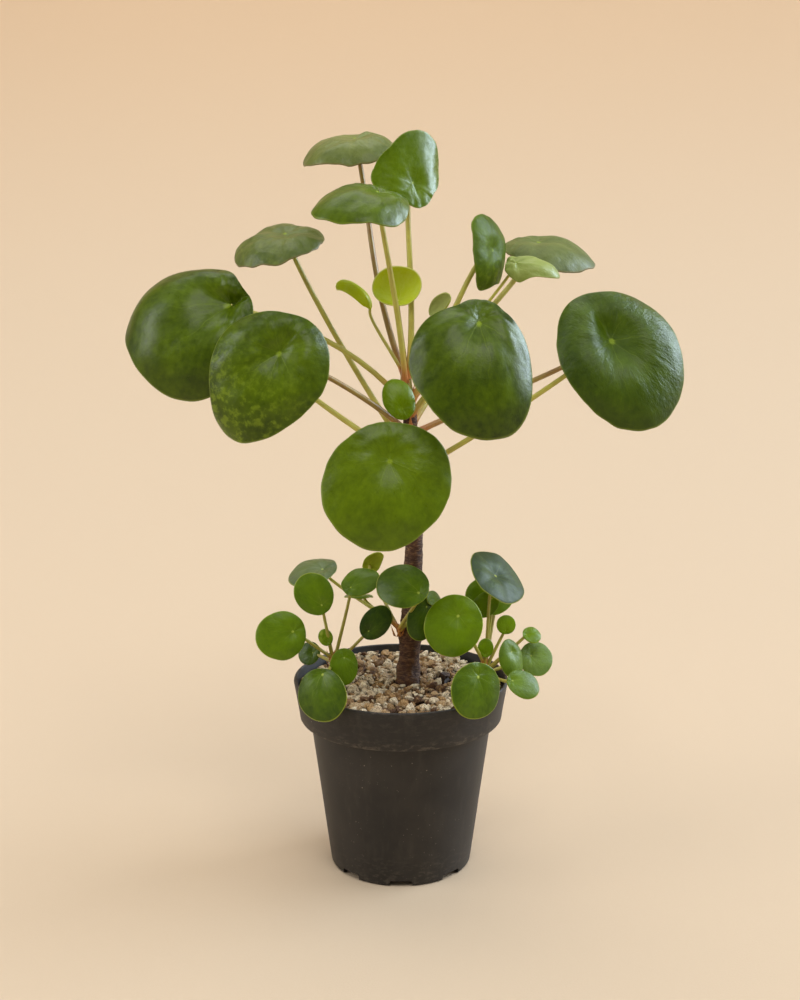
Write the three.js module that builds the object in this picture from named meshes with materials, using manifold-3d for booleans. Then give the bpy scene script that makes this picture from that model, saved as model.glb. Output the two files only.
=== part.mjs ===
// Potted pilea: a small tree-like plant with round peltate leaves, three young offshoots,
// a bed of pumice grit and a plain nursery pot. Millimetres, +Z up, the pot stands on z = 0
// and its axis is the z axis. The front of the plant faces -Y.
import * as THREE from 'three';
import { mergeVertices } from 'three/addons/utils/BufferGeometryUtils.js';
import Module from 'manifold-3d';

// ---------------------------------------------------------------- driving dimensions
const GAP = 0.3; // air left between separate pieces

const POT_HEIGHT = 108;
const POT_FOOT_RADIUS = 39.7;
const POT_SHOULDER_RADIUS = 51;
const POT_LIP_LOW_RADIUS = 56.6;
const POT_RIM_RADIUS = 60;
const POT_LIP_HEIGHT = 22.5;
const POT_WALL = 1.5;
const POT_FLOOR_UNDERSIDE = 3.6;
const POT_SIDES = 40;
const DRAIN_NOTCHES = 8;
const DRAIN_NOTCH_WIDTH = 11;
const DRAIN_NOTCH_DEPTH = 9;
const DRAIN_NOTCH_HEIGHT = 3;
const DRAIN_HOLE_RADIUS = 3;
const DRAIN_HOLE_CIRCLE = 24; // radius of the circle that the drain holes stand on

const SOIL_TOP = 95;
const GRIT_LEVEL = 102;
const GRIT_PEAK = 106.5;
const STONE_SPACING = 10.8;
const STONE_RADIUS = 4.8; // the smallest; each is up to STONE_SPREAD larger
const STONE_SPREAD = 1.8;
const STONE_JITTER = 3; // how far a stone strays from its even row
const STONE_ROW_STEP = 0.87; // of the spacing, so that the stones of two rows lock
const STONE_LIFT = { low: -1.4, spread: 1.6 };
const STONE_FLATNESS = { low: 0.7, spread: 0.25 };
const BED_PLAY = 1.2; // between the disc under the stones and the pot
const BED_SIDES = 32;

const TRUNK_HOLE_RADIUS = 7.6; // in the soil and the grit, where the stems stand
const OFFSHOOT_HOLE_RADIUS = 3.2;
const HOLE_TOP = 130;
const HOLE_SIDES = 16;

const TRUNK_BOTTOM = 62;
const TRUNK_TOP = 212;
const CROWN_TOP = 283;
const TRUNK_SIDES = 10;
const TRUNK_RINGS = 20;
const SCAR_HEIGHT = 0.4;
const CROWN_RINGS = 8;
const OFFSHOOT_BOTTOM = 89;
const OFFSHOOT_ROOT_STEP = 0.7; // each stalk of an offshoot leaves a little lower than the last
const BUD_RADIUS = 3;
const OFFSHOOT_STEM = { foot: 2.4, fall: 0.6, sides: 8, segments: 2 };

const BLADE_THICKNESS = 0.8;
const SMALL_BLADE_THICKNESS = 0.7;
const STALK_RADIUS = 1.5;
const SMALL_STALK_RADIUS = 0.95;
const STALK_MESH = { sides: 6, segments: 4 };
const SMALL_STALK_MESH = { sides: 4, segments: 3 };
const LARGE_LEAF = 40; // a leaf longer than this has a full stalk and a finer blade
const YOUNG_STALK_SHARE = 0.6; // of the full width, under a leaf that is not large
const LARGE_BLADE_MESH = { rings: [0.28, 0.64, 1], segments: 18 };
const MIDDLE_BLADE_MESH = { rings: [0.5, 1], segments: 14 };
const SMALL_BLADE_MESH = { rings: [0.55, 1], segments: 12 };
const PHASE_STEP = 1.3; // turns the wave of the rim from one leaf to the next
const SMALL_PHASE_STEP = 1.7;
const STALK_TAPER = { foot: 1.15, fall: 0.3 }; // widths along a stalk, of its radius
const RIM_WAVE = 4; // degrees that a rim bends up and down on its way round
const NAVEL_DIMPLE = { depth: 0.1, width: 0.3 }; // of the half length of the blade

// The bowed middle line of the trunk and growing tip, with the radius at each point.
const STEM_LINE = [
  { x: 3.4, y: 4, z: 60, radius: 6.3 },
  { x: 3.4, y: 4, z: 100, radius: 6.2 },
  { x: 5.2, y: 2, z: 128, radius: 5.9 },
  { x: 7.3, y: 0, z: 183, radius: 4.9 },
  { x: 6.5, y: 0, z: 220, radius: 4.3 },
  { x: 5, y: 0, z: 254, radius: 3.8 },
  { x: 2.5, y: 0, z: 276, radius: 2.9 },
  { x: 1.5, y: 0, z: 284, radius: 1.4 },
];

// Leaves of the main plant. navel: where the stalk meets the blade. yaw and pitch: where the
// upper face looks (yaw 0 is the front, 90 the right, pitch 90 straight up). roll: turns the
// tip in the plane of the blade. size: across and along the tip. curl: degrees that the rim
// bends back across and along. offset: how far the navel sits from the middle, of the half
// length. root: height on the stem and side it leaves from. rim: percent that the rim lies
// further out or in, every 30 degrees round from the tip.
const LEAVES = [
  { name: 'leaf_top_left', navel: [-24.5, 34, 401.4], yaw: -39, pitch: 73, roll: 31,
    size: [58, 57], curl: [53, 52], offset: 0.19, root: [272, 150], lead: 0.35, lean: -6,
    rim: [1, -4, -9, 10, 2, -7, 4, 4, 10, 11, -1, -3] },
  { name: 'leaf_top', navel: [6, 8, 378], yaw: 32, pitch: 13, roll: 181,
    size: [43, 40], curl: [41, -8], offset: 0.45, root: [276, 60], lean: 3,
    rim: [-5, 6, 6, -5, -12, 10, 23, 5, -8, 20, -4, -18] },
  { name: 'leaf_upper_front', navel: [-11.6, -22, 374], yaw: 6, pitch: 63, roll: 41,
    size: [53, 56], curl: [53, 47], offset: 0.51, root: [274, -20], lean: 2,
    rim: [-11, 3, -8, -1, 4, 4, 12, 4, -3, -4, -1, -14] },
  { name: 'leaf_upper_left', navel: [-61.8, 15, 351.1], yaw: -31, pitch: 68, roll: 30,
    size: [55, 54], curl: [41, 48], offset: 0.2, root: [236, -110], bow: -6,
    rim: [0, -4, -2, -4, 1, 2, -6, -2, -2, 2, 1, -6] },
  { name: 'leaf_left', navel: [-93.5, -10, 318.1], yaw: -23, pitch: 23, roll: 53,
    size: [84, 87], curl: [63, 52], offset: 0.62, root: [262, -100], bow: 15, egg: 0.08,
    rim: [-14, 5, 24, 0, 7, -10, -15, -2, -2, -5, 9, -4] },
  { name: 'leaf_front_left', navel: [-61.9, -45, 295], yaw: -9, pitch: 12, roll: 35,
    size: [66, 76], curl: [43, 48], offset: 0.32, root: [247, -70], bow: 5, egg: 0.1,
    rim: [15, -10, -7, 12, -4, -12, -4, 6, 7, 2, -9, -4] },
  { name: 'leaf_front', navel: [-5.5, -65, 243.5], yaw: 4, pitch: 14, roll: 4,
    size: [66, 68], curl: [22, 25], offset: 0.4, root: [222, -20],
    rim: [-2, 1, 5, 2, -4, 0, 1, 4, 9, 2, -5, -11] },
  { name: 'leaf_front_right', navel: [38.8, -58, 311.8], yaw: 4, pitch: 19, roll: 11,
    size: [68, 82], curl: [46, 51], offset: 0.61, root: [256, 20], egg: 0.1,
    rim: [-10, -16, 1, 9, -11, 9, 8, -2, -14, -3, 0, 5] },
  { name: 'leaf_right', navel: [110.8, -20, 299.9], yaw: 7, pitch: 24, roll: -25,
    size: [72, 89], curl: [44, 55], offset: 0.24, root: [226, 80], bow: -3,
    rim: [0, -2, -8, -6, -3, 8, 2, -7, 3, 1, -5, 1] },
  { name: 'leaf_edge_right', navel: [48.5, 10, 343.3], yaw: 58, pitch: 6, roll: -8,
    size: [41, 44], curl: [36, 46], offset: 0.05, root: [262, 40],
    rim: [-16, 6, -2, -11, -12, 2, 1, 0, 7, 4, 2, 0] },
  { name: 'leaf_back_right', navel: [76.2, 45, 345.7], yaw: 27, pitch: 71, roll: -24,
    size: [55, 53], curl: [39, 46], offset: 0.3, root: [264, 110],
    rim: [0, -2, -3, -5, 0, -1, 5, 1, -1, 0, 4, 8] },
  { name: 'leaf_pale_right', navel: [61.3, 8, 336.5], yaw: 12, pitch: 47, roll: -73,
    size: [22.5, 33], curl: [69, 46], offset: 0.54, root: [266, 70],
    rim: [11, -20, -20, 11, 7, -9, -18, -18, 3, 0, -5, 0] },
  { name: 'leaf_young_cupped', navel: [-1.6, 1, 317], yaw: 5, pitch: 0, roll: 175,
    size: [29, 26], curl: [-45, -75], offset: 0.7, root: [280, 90], lead: 0.15 },
  { name: 'leaf_young_curled', navel: [-16.4, 8, 312.2], yaw: 61, pitch: 61, roll: 184,
    size: [10.2, 37], curl: [61, 98], offset: 0.92, root: [279, -90],
    rim: [13, 5, 9, 13, 29, 15, 1, -2, -11, 13, 8, 16] },
  { name: 'leaf_young_folded', navel: [16.3, 4, 309.5], yaw: -39, pitch: 9, roll: -133,
    size: [10.5, 19.4], curl: [-70, -58], offset: 0.9, root: [278, 30],
    rim: [7, 16, -8, 6, 6, 0, 10, 1, 0, -7, 20, 6] },
  { name: 'leaf_youngest', navel: [0.8, -18, 262], yaw: 10, pitch: 25, roll: 165,
    size: [18, 24], curl: [30, 30], offset: 0.5, root: [268, -30] },
  { name: 'leaf_back_left', navel: [-76, 35, 285], yaw: -150, pitch: 40, roll: 0,
    size: [52, 56], curl: [40, 40], offset: 0.3, root: [230, -120], bow: -3 },
  { name: 'leaf_back_far_right', navel: [111, 42, 289], yaw: 110, pitch: 45, roll: 20,
    size: [60, 64], curl: [45, 40], offset: 0.3, root: [246, 110] },
  { name: 'leaf_back', navel: [-8, 58, 218], yaw: 175, pitch: 35, roll: 10,
    size: [56, 60], curl: [40, 35], offset: 0.35, root: [222, 170] },
  { name: 'leaf_back_upper', navel: [40, 54, 298], yaw: 160, pitch: 45, roll: -10,
    size: [58, 62], curl: [45, 40], offset: 0.35, root: [250, 150] },
];

// Leaves of the offshoots, each offshoot one piece that grows from its own short stem.
const LEFT_OFFSHOOT = [
  { navel: [-59, -12, 138], yaw: 0, pitch: 15, roll: 70, size: [27, 30], offset: 0.5,
    rim: [-3, -1, -1, 5, -1, -2, -8, -8, -4, 0, 3, -5] },
  { navel: [-43.5, -6, 151], yaw: 5, pitch: 15, roll: 145, size: [22, 25], offset: 0.6,
    rim: [2, 2, 3, -6, -10, -5, -3, -3, -5, -9, -3, 0] },
  { navel: [-40.5, 0, 127.5], yaw: -15, pitch: 15, roll: 150, size: [8.5, 10], offset: 0.7 },
  { navel: [-50, 16, 116.5], yaw: -25, pitch: 30, roll: 75, size: [14, 14] },
  { navel: [-41, -48, 126], yaw: -25, pitch: 12, roll: -5, size: [30, 29], offset: 0.8 },
  { navel: [-31, -18, 125], yaw: 10, pitch: 15, roll: 5, size: [16, 21], offset: 0.5 },
  { navel: [-28, 1, 159], yaw: -10, pitch: 55, roll: -130, size: [20, 23], offset: 0.6,
    rim: [1, -1, -5, -2, -1, -2, -3, -7, 4, 4, 5, 2] },
  { navel: [-18, -6, 136], yaw: 0, pitch: 15, roll: -140, size: [16, 22], offset: 0.6 },
];
const RIGHT_OFFSHOOT = [
  { navel: [31, -22, 150], yaw: -5, pitch: 15, roll: 25, size: [32, 35] },
  { navel: [40.5, -48, 124.5], yaw: 25, pitch: 12, roll: 15, size: [30, 31], offset: 0.5 },
  { navel: [52, 0, 166], yaw: 55, pitch: 45, roll: -50, size: [36, 38], offset: 0.1,
    rim: [3, -4, -4, 4, 2, 0, -3, 2, 6, 5, 2, 4] },
  { navel: [55, 16, 151], yaw: 10, pitch: 35, roll: 85, size: [24, 29] },
  { navel: [51, 6, 151.5], yaw: -10, pitch: 15, roll: 45, size: [13.5, 17.5], offset: 0.6 },
  { navel: [58, -4, 136], yaw: 5, pitch: 10, roll: 185, size: [11, 11], offset: 0.6 },
  { navel: [70, 2, 131.8], yaw: 20, pitch: 50, roll: -75, size: [11, 11], offset: 0.6 },
  { navel: [60.5, -14, 127], yaw: 42, pitch: 20, roll: 0, size: [19, 23], curl: [45, 30] },
  { navel: [73, 6, 118], yaw: 15, pitch: 35, roll: -55, size: [21, 20] },
  { navel: [60, -28, 115], yaw: 30, pitch: 40, roll: -60, size: [17, 20], offset: 0.7 },
  { navel: [47, -4, 122], yaw: -10, pitch: 15, roll: 180, size: [9, 11], offset: 0.7 },
];
const SIDE_SHOOT = [
  { navel: [-44.5, 27, 162.5], yaw: -35, pitch: 70, roll: 50, size: [30, 29], offset: 0.4,
    rim: [3, -6, -6, 2, 8, 3, -3, -5, -5, -1, 2, 6] },
  { navel: [-21, 19, 149], yaw: -5, pitch: 98, roll: 80, size: [14, 17] },
  { navel: [-17.9, 32, 163.6], yaw: 172, pitch: 30, roll: 144, size: [11.9, 18.7],
    curl: [44, 42], offset: 0.49, rim: [15, 5, -5, -12, 2, 1, 10, -14, -1, 11, -16, -15] },
  { navel: [10, -24, 163], yaw: -25, pitch: 45, roll: 105, size: [27, 33], offset: 0.7 },
  { navel: [14, -11, 152], yaw: 15, pitch: 10, roll: 20, size: [18, 25], offset: 0.6 },
  { navel: [16, -10, 155], yaw: 55, pitch: 35, roll: -90, size: [10, 12], offset: 0.6 },
];

const LEFT_TOP = new THREE.Vector3(-38, 4, 117);
const RIGHT_TOP = new THREE.Vector3(47, 0, 115);
const SIDE_TOP = new THREE.Vector3(-1.5, -3, 138);

// ---------------------------------------------------------------- helpers
const rad = THREE.MathUtils.degToRad;
const CURVE_POINTS = 12; // places at which the stem is read for its curve

/** Repeatable random numbers between 0 and 1. */
function seeded(seed) {
  let state = seed >>> 0;
  return () => {
    state = (Math.imul(state, 1664525) + 1013904223) >>> 0;
    return state / 4294967296;
  };
}

const wasm = await Module();
wasm.setup();

function toSolid(geometry) {
  const plain = geometry.index ? geometry.clone() : mergeVertices(geometry);
  plain.deleteAttribute('normal');
  plain.deleteAttribute('uv');
  const joined = mergeVertices(plain, 1e-4);
  const mesh = new wasm.Mesh({
    numProp: 3,
    vertProperties: Float32Array.from(joined.attributes.position.array),
    triVerts: Uint32Array.from(joined.index.array),
  });
  return new wasm.Manifold(mesh);
}

function toGeometry(solid) {
  const mesh = solid.getMesh();
  const geometry = new THREE.BufferGeometry();
  geometry.setAttribute('position', new THREE.BufferAttribute(mesh.vertProperties.slice(), 3));
  geometry.setIndex(new THREE.BufferAttribute(mesh.triVerts.slice(), 1));
  geometry.computeVertexNormals();
  return geometry;
}

function unite(geometries) {
  return wasm.Manifold.union(geometries.map(toSolid));
}

/** A cylinder bent along a curve, its radius given along the curve from 0 to 1. */
function bentRod(curve, radiusAt, sides, segments) {
  const rod = new THREE.CylinderGeometry(1, 1, 1, sides, segments);
  const frames = curve.computeFrenetFrames(segments);
  const position = rod.attributes.position;
  for (let i = 0; i < position.count; i += 1) {
    const step = Math.round((position.getY(i) + 0.5) * segments);
    const radius = radiusAt(step / segments);
    const point = curve.getPointAt(step / segments);
    point.addScaledVector(frames.normals[step], position.getX(i) * radius);
    point.addScaledVector(frames.binormals[step], -position.getZ(i) * radius);
    position.setXYZ(i, point.x, point.y, point.z);
  }
  return rod;
}

/** Point on the middle line of the stem at a height, and its radius there. */
function stemAt(z) {
  const upper = Math.max(1, STEM_LINE.findIndex((p) => p.z >= z));
  const [a, b] = [STEM_LINE[upper - 1], STEM_LINE[upper]];
  const t = (z - a.z) / (b.z - a.z);
  return {
    point: new THREE.Vector3(THREE.MathUtils.lerp(a.x, b.x, t), THREE.MathUtils.lerp(a.y, b.y, t), z),
    radius: THREE.MathUtils.lerp(a.radius, b.radius, t),
  };
}

/** The stem between two heights, grown by extra, with low rings where old leaves fell. */
function stemPiece(low, high, segments, extra = 0, scars = 0) {
  const points = [];
  for (let i = 0; i <= CURVE_POINTS; i += 1) {
    points.push(stemAt(low + ((high - low) * i) / CURVE_POINTS).point);
  }
  const curve = new THREE.CatmullRomCurve3(points);
  const radiusAt = (t) => {
    const ring = Math.round(t * segments) % 2 === 0 ? scars : 0;
    return stemAt(low + (high - low) * t).radius + ring + extra;
  };
  return bentRod(curve, radiusAt, TRUNK_SIDES, segments);
}

// ---------------------------------------------------------------- blades and stalks
/** Unit directions of a blade: out of its face, towards its tip and across it. */
function bladeAxes(leaf) {
  const [y, p, r] = [leaf.yaw, leaf.pitch, leaf.roll].map(rad);
  const face = new THREE.Vector3(Math.sin(y) * Math.cos(p), -Math.cos(y) * Math.cos(p), Math.sin(p));
  const down = new THREE.Vector3(Math.sin(y) * Math.sin(p), -Math.cos(y) * Math.sin(p), -Math.cos(p));
  const side = new THREE.Vector3().crossVectors(down, face);
  const tip = down.multiplyScalar(Math.cos(r)).addScaledVector(side, Math.sin(r));
  const across = new THREE.Vector3().crossVectors(tip, face);
  return { face, tip, across };
}

/** How far an arc that steepens towards its end runs out and drops, over the given length. */
function steepeningArc(angle, length) {
  const steps = 8;
  let out = 0;
  let drop = 0;
  for (let i = 0; i < steps; i += 1) {
    const t = ((i + 0.5) * length) / steps;
    out += (Math.cos(angle * t ** 1.5) * length) / steps;
    drop += (Math.sin(angle * t ** 1.5) * length) / steps;
  }
  return { out, drop };
}

/** Smooth curve through equal steps all the way round. */
function aroundRim(values, angle) {
  const place = (((angle / (Math.PI * 2)) % 1) + 1) % 1 * values.length;
  const step = Math.floor(place);
  const t = place - step;
  const [a, b, c, d] = [-1, 0, 1, 2].map((k) => values[(step + k + values.length) % values.length]);
  return b + 0.5 * t * (c - a + t * (2 * a - 5 * b + 4 * c - d + t * (3 * (b - c) + d - a)));
}

/** Middle surface of a round blade: share of the way from navel to rim, and angle. */
function bladePoint(leaf, share, angle) {
  const { size, curl = [18, 20], offset = 0.35, egg = 0, phase = 0, rim = [0] } = leaf;
  const round = offset * Math.cos(angle) + Math.sqrt(1 - (offset * Math.sin(angle)) ** 2);
  const reach = round * (1 + 0.01 * aroundRim(rim, angle) * share * share);
  const u = reach * share * Math.sin(angle);
  const v = reach * share * Math.cos(angle) - offset;
  const length = Math.hypot(u, v);
  const around = Math.atan2(u, v);
  const bend = rad(curl[0]) * Math.sin(around) ** 2 + rad(curl[1]) * Math.cos(around) ** 2
    + rad(RIM_WAVE) * length * Math.sin(4 * around + phase);
  const { out, drop } = steepeningArc(bend, length);
  const middle = (size[0] + size[1]) / 4;
  const fromNavel = Math.hypot(u, v + offset);
  const dimple = NAVEL_DIMPLE.depth * middle * Math.exp(-((fromNavel / NAVEL_DIMPLE.width) ** 2));
  return new THREE.Vector3(
    (size[0] / 2) * out * Math.sin(around) * (1 + egg * v),
    (size[1] / 2) * out * Math.cos(around),
    -middle * drop - dimple,
  );
}

/** A thin closed blade, split into triangles alike on both faces. */
function blade(leaf, { rings, segments }, thickness) {
  const { face, tip, across } = bladeAxes(leaf);
  const place = new THREE.Matrix4().makeBasis(across, tip, face);
  const navel = new THREE.Vector3(...leaf.navel);
  const centre = bladePoint(leaf, 0, 0);
  const at = (share, angle) => bladePoint(leaf, share, angle).sub(centre).applyMatrix4(place).add(navel);
  const faceAt = (share, angle) => {
    const h = 0.02;
    const alongRay = at(share + h, angle).sub(at(Math.max(share - h, 0), angle));
    const round = at(Math.max(share, h), angle + h).sub(at(Math.max(share, h), angle - h));
    return new THREE.Vector3().crossVectors(round, alongRay).normalize();
  };
  const position = [];
  const index = [];
  const push = (point, normal) => {
    for (const side of [0.5, -0.5]) {
      const p = point.clone().addScaledVector(normal, side * thickness);
      position.push(p.x, p.y, p.z);
    }
  };
  push(navel, face);
  for (let ring = 1; ring <= rings.length; ring += 1) {
    for (let i = 0; i < segments; i += 1) {
      const angle = (i / segments) * Math.PI * 2;
      push(at(rings[ring - 1], angle), faceAt(rings[ring - 1], angle));
    }
  }
  const id = (ring, i, back) => (ring === 0 ? back : 2 + 2 * ((ring - 1) * segments + (i % segments)) + back);
  const last = rings.length;
  for (let i = 0; i < segments; i += 1) {
    index.push(id(0, 0, 0), id(1, i + 1, 0), id(1, i, 0));
    index.push(id(0, 0, 1), id(1, i, 1), id(1, i + 1, 1));
    for (let ring = 1; ring < last; ring += 1) {
      const [a, b, c, d] = [[ring, i], [ring, i + 1], [ring + 1, i + 1], [ring + 1, i]];
      const top = [a, b, c, d].map(([r, k]) => id(r, k, 0));
      const under = [a, b, c, d].map(([r, k]) => id(r, k, 1));
      index.push(top[0], top[1], top[2], top[0], top[2], top[3]);
      index.push(under[0], under[2], under[1], under[0], under[3], under[2]);
    }
    index.push(id(last, i, 0), id(last, i + 1, 0), id(last, i + 1, 1));
    index.push(id(last, i, 0), id(last, i + 1, 1), id(last, i, 1));
  }
  const geometry = new THREE.BufferGeometry();
  geometry.setAttribute('position', new THREE.Float32BufferAttribute(position, 3));
  geometry.setIndex(index);
  geometry.computeVertexNormals();
  return geometry;
}

/** The stalk of a leaf, from its root to short of its navel by the given distance. */
function stalk(leaf, root, radius, short, { sides, segments }) {
  const { face } = bladeAxes(leaf);
  const end = new THREE.Vector3(...leaf.navel).addScaledVector(face, -short);
  const way = end.clone().sub(root);
  const { lead = 0.12, bow = 0, lean = 0 } = leaf;
  // A handle moves the middle of the curve by less than itself, so lean and bow are drawn larger.
  const pull = 1.6;
  const first = root.clone().addScaledVector(way, 0.4);
  const second = end.clone().addScaledVector(face, -lead * way.length());
  first.add(new THREE.Vector3(pull * lean, 0, pull * bow));
  const curve = new THREE.CubicBezierCurve3(root, first, second, end);
  return bentRod(curve, (t) => radius * (STALK_TAPER.foot - STALK_TAPER.fall * t), sides, segments);
}

// ---------------------------------------------------------------- pot, soil and grit
/** A profile of radius and height pairs, turned round the z axis. */
function turned(profile, sides) {
  const points = profile.map(([r, z]) => new THREE.Vector2(r, z));
  const lathe = new THREE.LatheGeometry(points, sides);
  lathe.rotateX(Math.PI / 2);
  return lathe;
}

/** The pot, with notches in its foot and drain holes in its floor. */
function pot() {
  const ledge = POT_HEIGHT - POT_LIP_HEIGHT;
  const inside = POT_FLOOR_UNDERSIDE + POT_WALL;
  const body = toSolid(turned([
    [0, POT_FLOOR_UNDERSIDE],
    [POT_FOOT_RADIUS - 3.6, POT_FLOOR_UNDERSIDE],
    [POT_FOOT_RADIUS - 3, 0],
    [POT_FOOT_RADIUS - 0.8, 0],
    [POT_FOOT_RADIUS, 1.2],
    [POT_SHOULDER_RADIUS, ledge - 0.6],
    [POT_LIP_LOW_RADIUS - 0.6, ledge],
    [POT_LIP_LOW_RADIUS, ledge + 0.8],
    [POT_RIM_RADIUS, POT_HEIGHT - 0.8],
    [POT_RIM_RADIUS - 0.6, POT_HEIGHT],
    [POT_RIM_RADIUS - 1.6, POT_HEIGHT],
    [POT_RIM_RADIUS - 2, POT_HEIGHT - 0.8],
    [POT_LIP_LOW_RADIUS - POT_WALL, ledge + POT_WALL],
    [POT_SHOULDER_RADIUS - POT_WALL, ledge + POT_WALL - 0.6],
    [POT_FOOT_RADIUS - POT_WALL - 0.6, inside + 1.2],
    [POT_FOOT_RADIUS - POT_WALL - 1.8, inside],
    [0, inside],
  ], POT_SIDES));
  const cuts = [];
  for (let i = 0; i < DRAIN_NOTCHES; i += 1) {
    const turn = (i / DRAIN_NOTCHES) * Math.PI * 2;
    const notch = new THREE.BoxGeometry(DRAIN_NOTCH_DEPTH, DRAIN_NOTCH_WIDTH, 2 * DRAIN_NOTCH_HEIGHT);
    notch.translate(POT_FOOT_RADIUS - 1, 0, 0);
    notch.rotateZ(turn);
    cuts.push(notch);
    const hole = new THREE.CylinderGeometry(DRAIN_HOLE_RADIUS, DRAIN_HOLE_RADIUS, 12, 6);
    hole.rotateX(Math.PI / 2);
    hole.translate(DRAIN_HOLE_CIRCLE, 0, POT_FLOOR_UNDERSIDE);
    hole.rotateZ(turn + Math.PI / DRAIN_NOTCHES);
    cuts.push(hole);
  }
  return body.subtract(unite(cuts));
}

/** Radius of the pot's inside at a height. */
function potInside(z) {
  const ledge = POT_HEIGHT - POT_LIP_HEIGHT + POT_WALL;
  if (z < ledge - 0.6) {
    const low = POT_FOOT_RADIUS - POT_WALL - 0.6;
    const floor = POT_FLOOR_UNDERSIDE + POT_WALL + 1.2;
    return low + ((POT_SHOULDER_RADIUS - POT_WALL - low) * (z - floor)) / (ledge - 0.6 - floor);
  }
  const low = POT_LIP_LOW_RADIUS - POT_WALL;
  return low + ((POT_RIM_RADIUS - 2 - low) * (z - ledge)) / (POT_HEIGHT - 0.8 - ledge);
}

/** Plain upright holes for the stems that stand in the bed. */
function stemHoles() {
  const holes = [];
  for (const [x, y, radius, low] of [
    [STEM_LINE[0].x, STEM_LINE[0].y, TRUNK_HOLE_RADIUS, TRUNK_BOTTOM - GAP],
    [LEFT_TOP.x, LEFT_TOP.y, OFFSHOOT_HOLE_RADIUS, OFFSHOOT_BOTTOM - GAP],
    [RIGHT_TOP.x, RIGHT_TOP.y, OFFSHOOT_HOLE_RADIUS, OFFSHOOT_BOTTOM - GAP],
  ]) {
    const hole = new THREE.CylinderGeometry(radius, radius, HOLE_TOP - low, HOLE_SIDES);
    hole.rotateX(Math.PI / 2);
    hole.translate(x, y, (HOLE_TOP + low) / 2);
    holes.push(hole);
  }
  return unite(holes);
}

/** The soil that fills the pot up to the dressing, stepping out where the pot does. */
function soil() {
  const ledge = POT_HEIGHT - POT_LIP_HEIGHT + POT_WALL + 0.5;
  const floor = POT_FLOOR_UNDERSIDE + POT_WALL + GAP;
  const play = GAP + 0.3;
  return toSolid(turned([
    [0, floor],
    [POT_FOOT_RADIUS - POT_WALL - 3, floor],
    [potInside(floor + 2) - play, floor + 2],
    [potInside(ledge - 2) - play, ledge - 1.5],
    [potInside(ledge - 2) - play, ledge],
    [potInside(ledge + 1) - play, ledge],
    [potInside(SOIL_TOP) - play, SOIL_TOP],
    [0, SOIL_TOP],
  ], BED_SIDES)).subtract(stemHoles());
}

/** The dressing: a disc covered with angular stones, drawn a little larger than life. */
function grit() {
  const random = seeded(11);
  const bottom = SOIL_TOP + GAP;
  const edge = potInside(bottom);
  const disc = new THREE.CylinderGeometry(
    edge - BED_PLAY, edge - BED_PLAY, GRIT_LEVEL - bottom, BED_SIDES,
  );
  disc.rotateX(Math.PI / 2);
  disc.translate(0, 0, (GRIT_LEVEL + bottom) / 2);
  const pieces = [disc];
  const rows = Math.ceil(edge / STONE_SPACING) + 1;
  for (let row = -rows; row <= rows; row += 1) {
    for (let column = -rows; column <= rows; column += 1) {
      const x = (column + (row % 2) / 2) * STONE_SPACING + (random() - 0.5) * STONE_JITTER;
      const y = row * STONE_SPACING * STONE_ROW_STEP + (random() - 0.5) * STONE_JITTER;
      const radius = STONE_RADIUS + random() * STONE_SPREAD;
      const turn = new THREE.Euler(random() * 6, random() * 6, random() * 6);
      const lift = random() * STONE_LIFT.spread + STONE_LIFT.low;
      const flat = STONE_FLATNESS.low + random() * STONE_FLATNESS.spread;
      if (Math.hypot(x, y) > edge - 2) continue;
      const stone = new THREE.IcosahedronGeometry(radius, 0);
      stone.applyMatrix4(new THREE.Matrix4().makeRotationFromEuler(turn));
      stone.scale(1, 1, flat);
      stone.translate(x, y, GRIT_LEVEL + lift);
      pieces.push(mergeVertices(stone));
    }
  }
  const room = toSolid(turned([
    [0, bottom],
    [potInside(bottom) - 2 * GAP, bottom],
    [potInside(GRIT_PEAK) - 2 * GAP, GRIT_PEAK],
    [0, GRIT_PEAK],
  ], POT_SIDES));
  return unite(pieces).intersect(room).subtract(stemHoles());
}

// ---------------------------------------------------------------- crown and offshoots
function isLarge(leaf) {
  return Math.max(...leaf.size) > LARGE_LEAF;
}

/** The blade of one main leaf, coarser for the small ones. */
function mainBlade(leaf, i, thickness) {
  const shape = { ...leaf, phase: i * PHASE_STEP };
  return blade(shape, isLarge(leaf) ? LARGE_BLADE_MESH : MIDDLE_BLADE_MESH, thickness);
}

/** The stalk of one main leaf, rooted inside the growing tip. */
function crownStalk(leaf) {
  const [height, side] = leaf.root;
  const { point, radius } = stemAt(height);
  const out = new THREE.Vector3(Math.sin(rad(side)), -Math.cos(rad(side)), 0);
  const root = point.clone().addScaledVector(out, radius * 0.5);
  const width = STALK_RADIUS * (isLarge(leaf) ? 1 : YOUNG_STALK_SHARE);
  // An off-centre navel sits on the leaning part of the blade, so it needs more room.
  const room = BLADE_THICKNESS / 2 + GAP + width * leaf.offset ** 1.5;
  return stalk(leaf, root, width, room, STALK_MESH);
}

/** The growing tip with every main stalk, each stopping just short of its blade. */
function crown() {
  return unite([stemPiece(TRUNK_TOP + GAP, CROWN_TOP, CROWN_RINGS), ...LEAVES.map(crownStalk)]);
}

/** The leaves of one offshoot with their stalks, on the stem pieces given. */
function offshoot(leaves, stem, top) {
  const pieces = [...stem];
  leaves.forEach((leaf, i) => {
    const shape = { ...leaf, phase: i * SMALL_PHASE_STEP };
    const root = top.clone().add(new THREE.Vector3(0, 0, -OFFSHOOT_ROOT_STEP * i));
    pieces.push(blade(shape, SMALL_BLADE_MESH, SMALL_BLADE_THICKNESS));
    pieces.push(stalk(shape, root, SMALL_STALK_RADIUS, 0, SMALL_STALK_MESH));
  });
  return unite(pieces);
}

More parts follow.
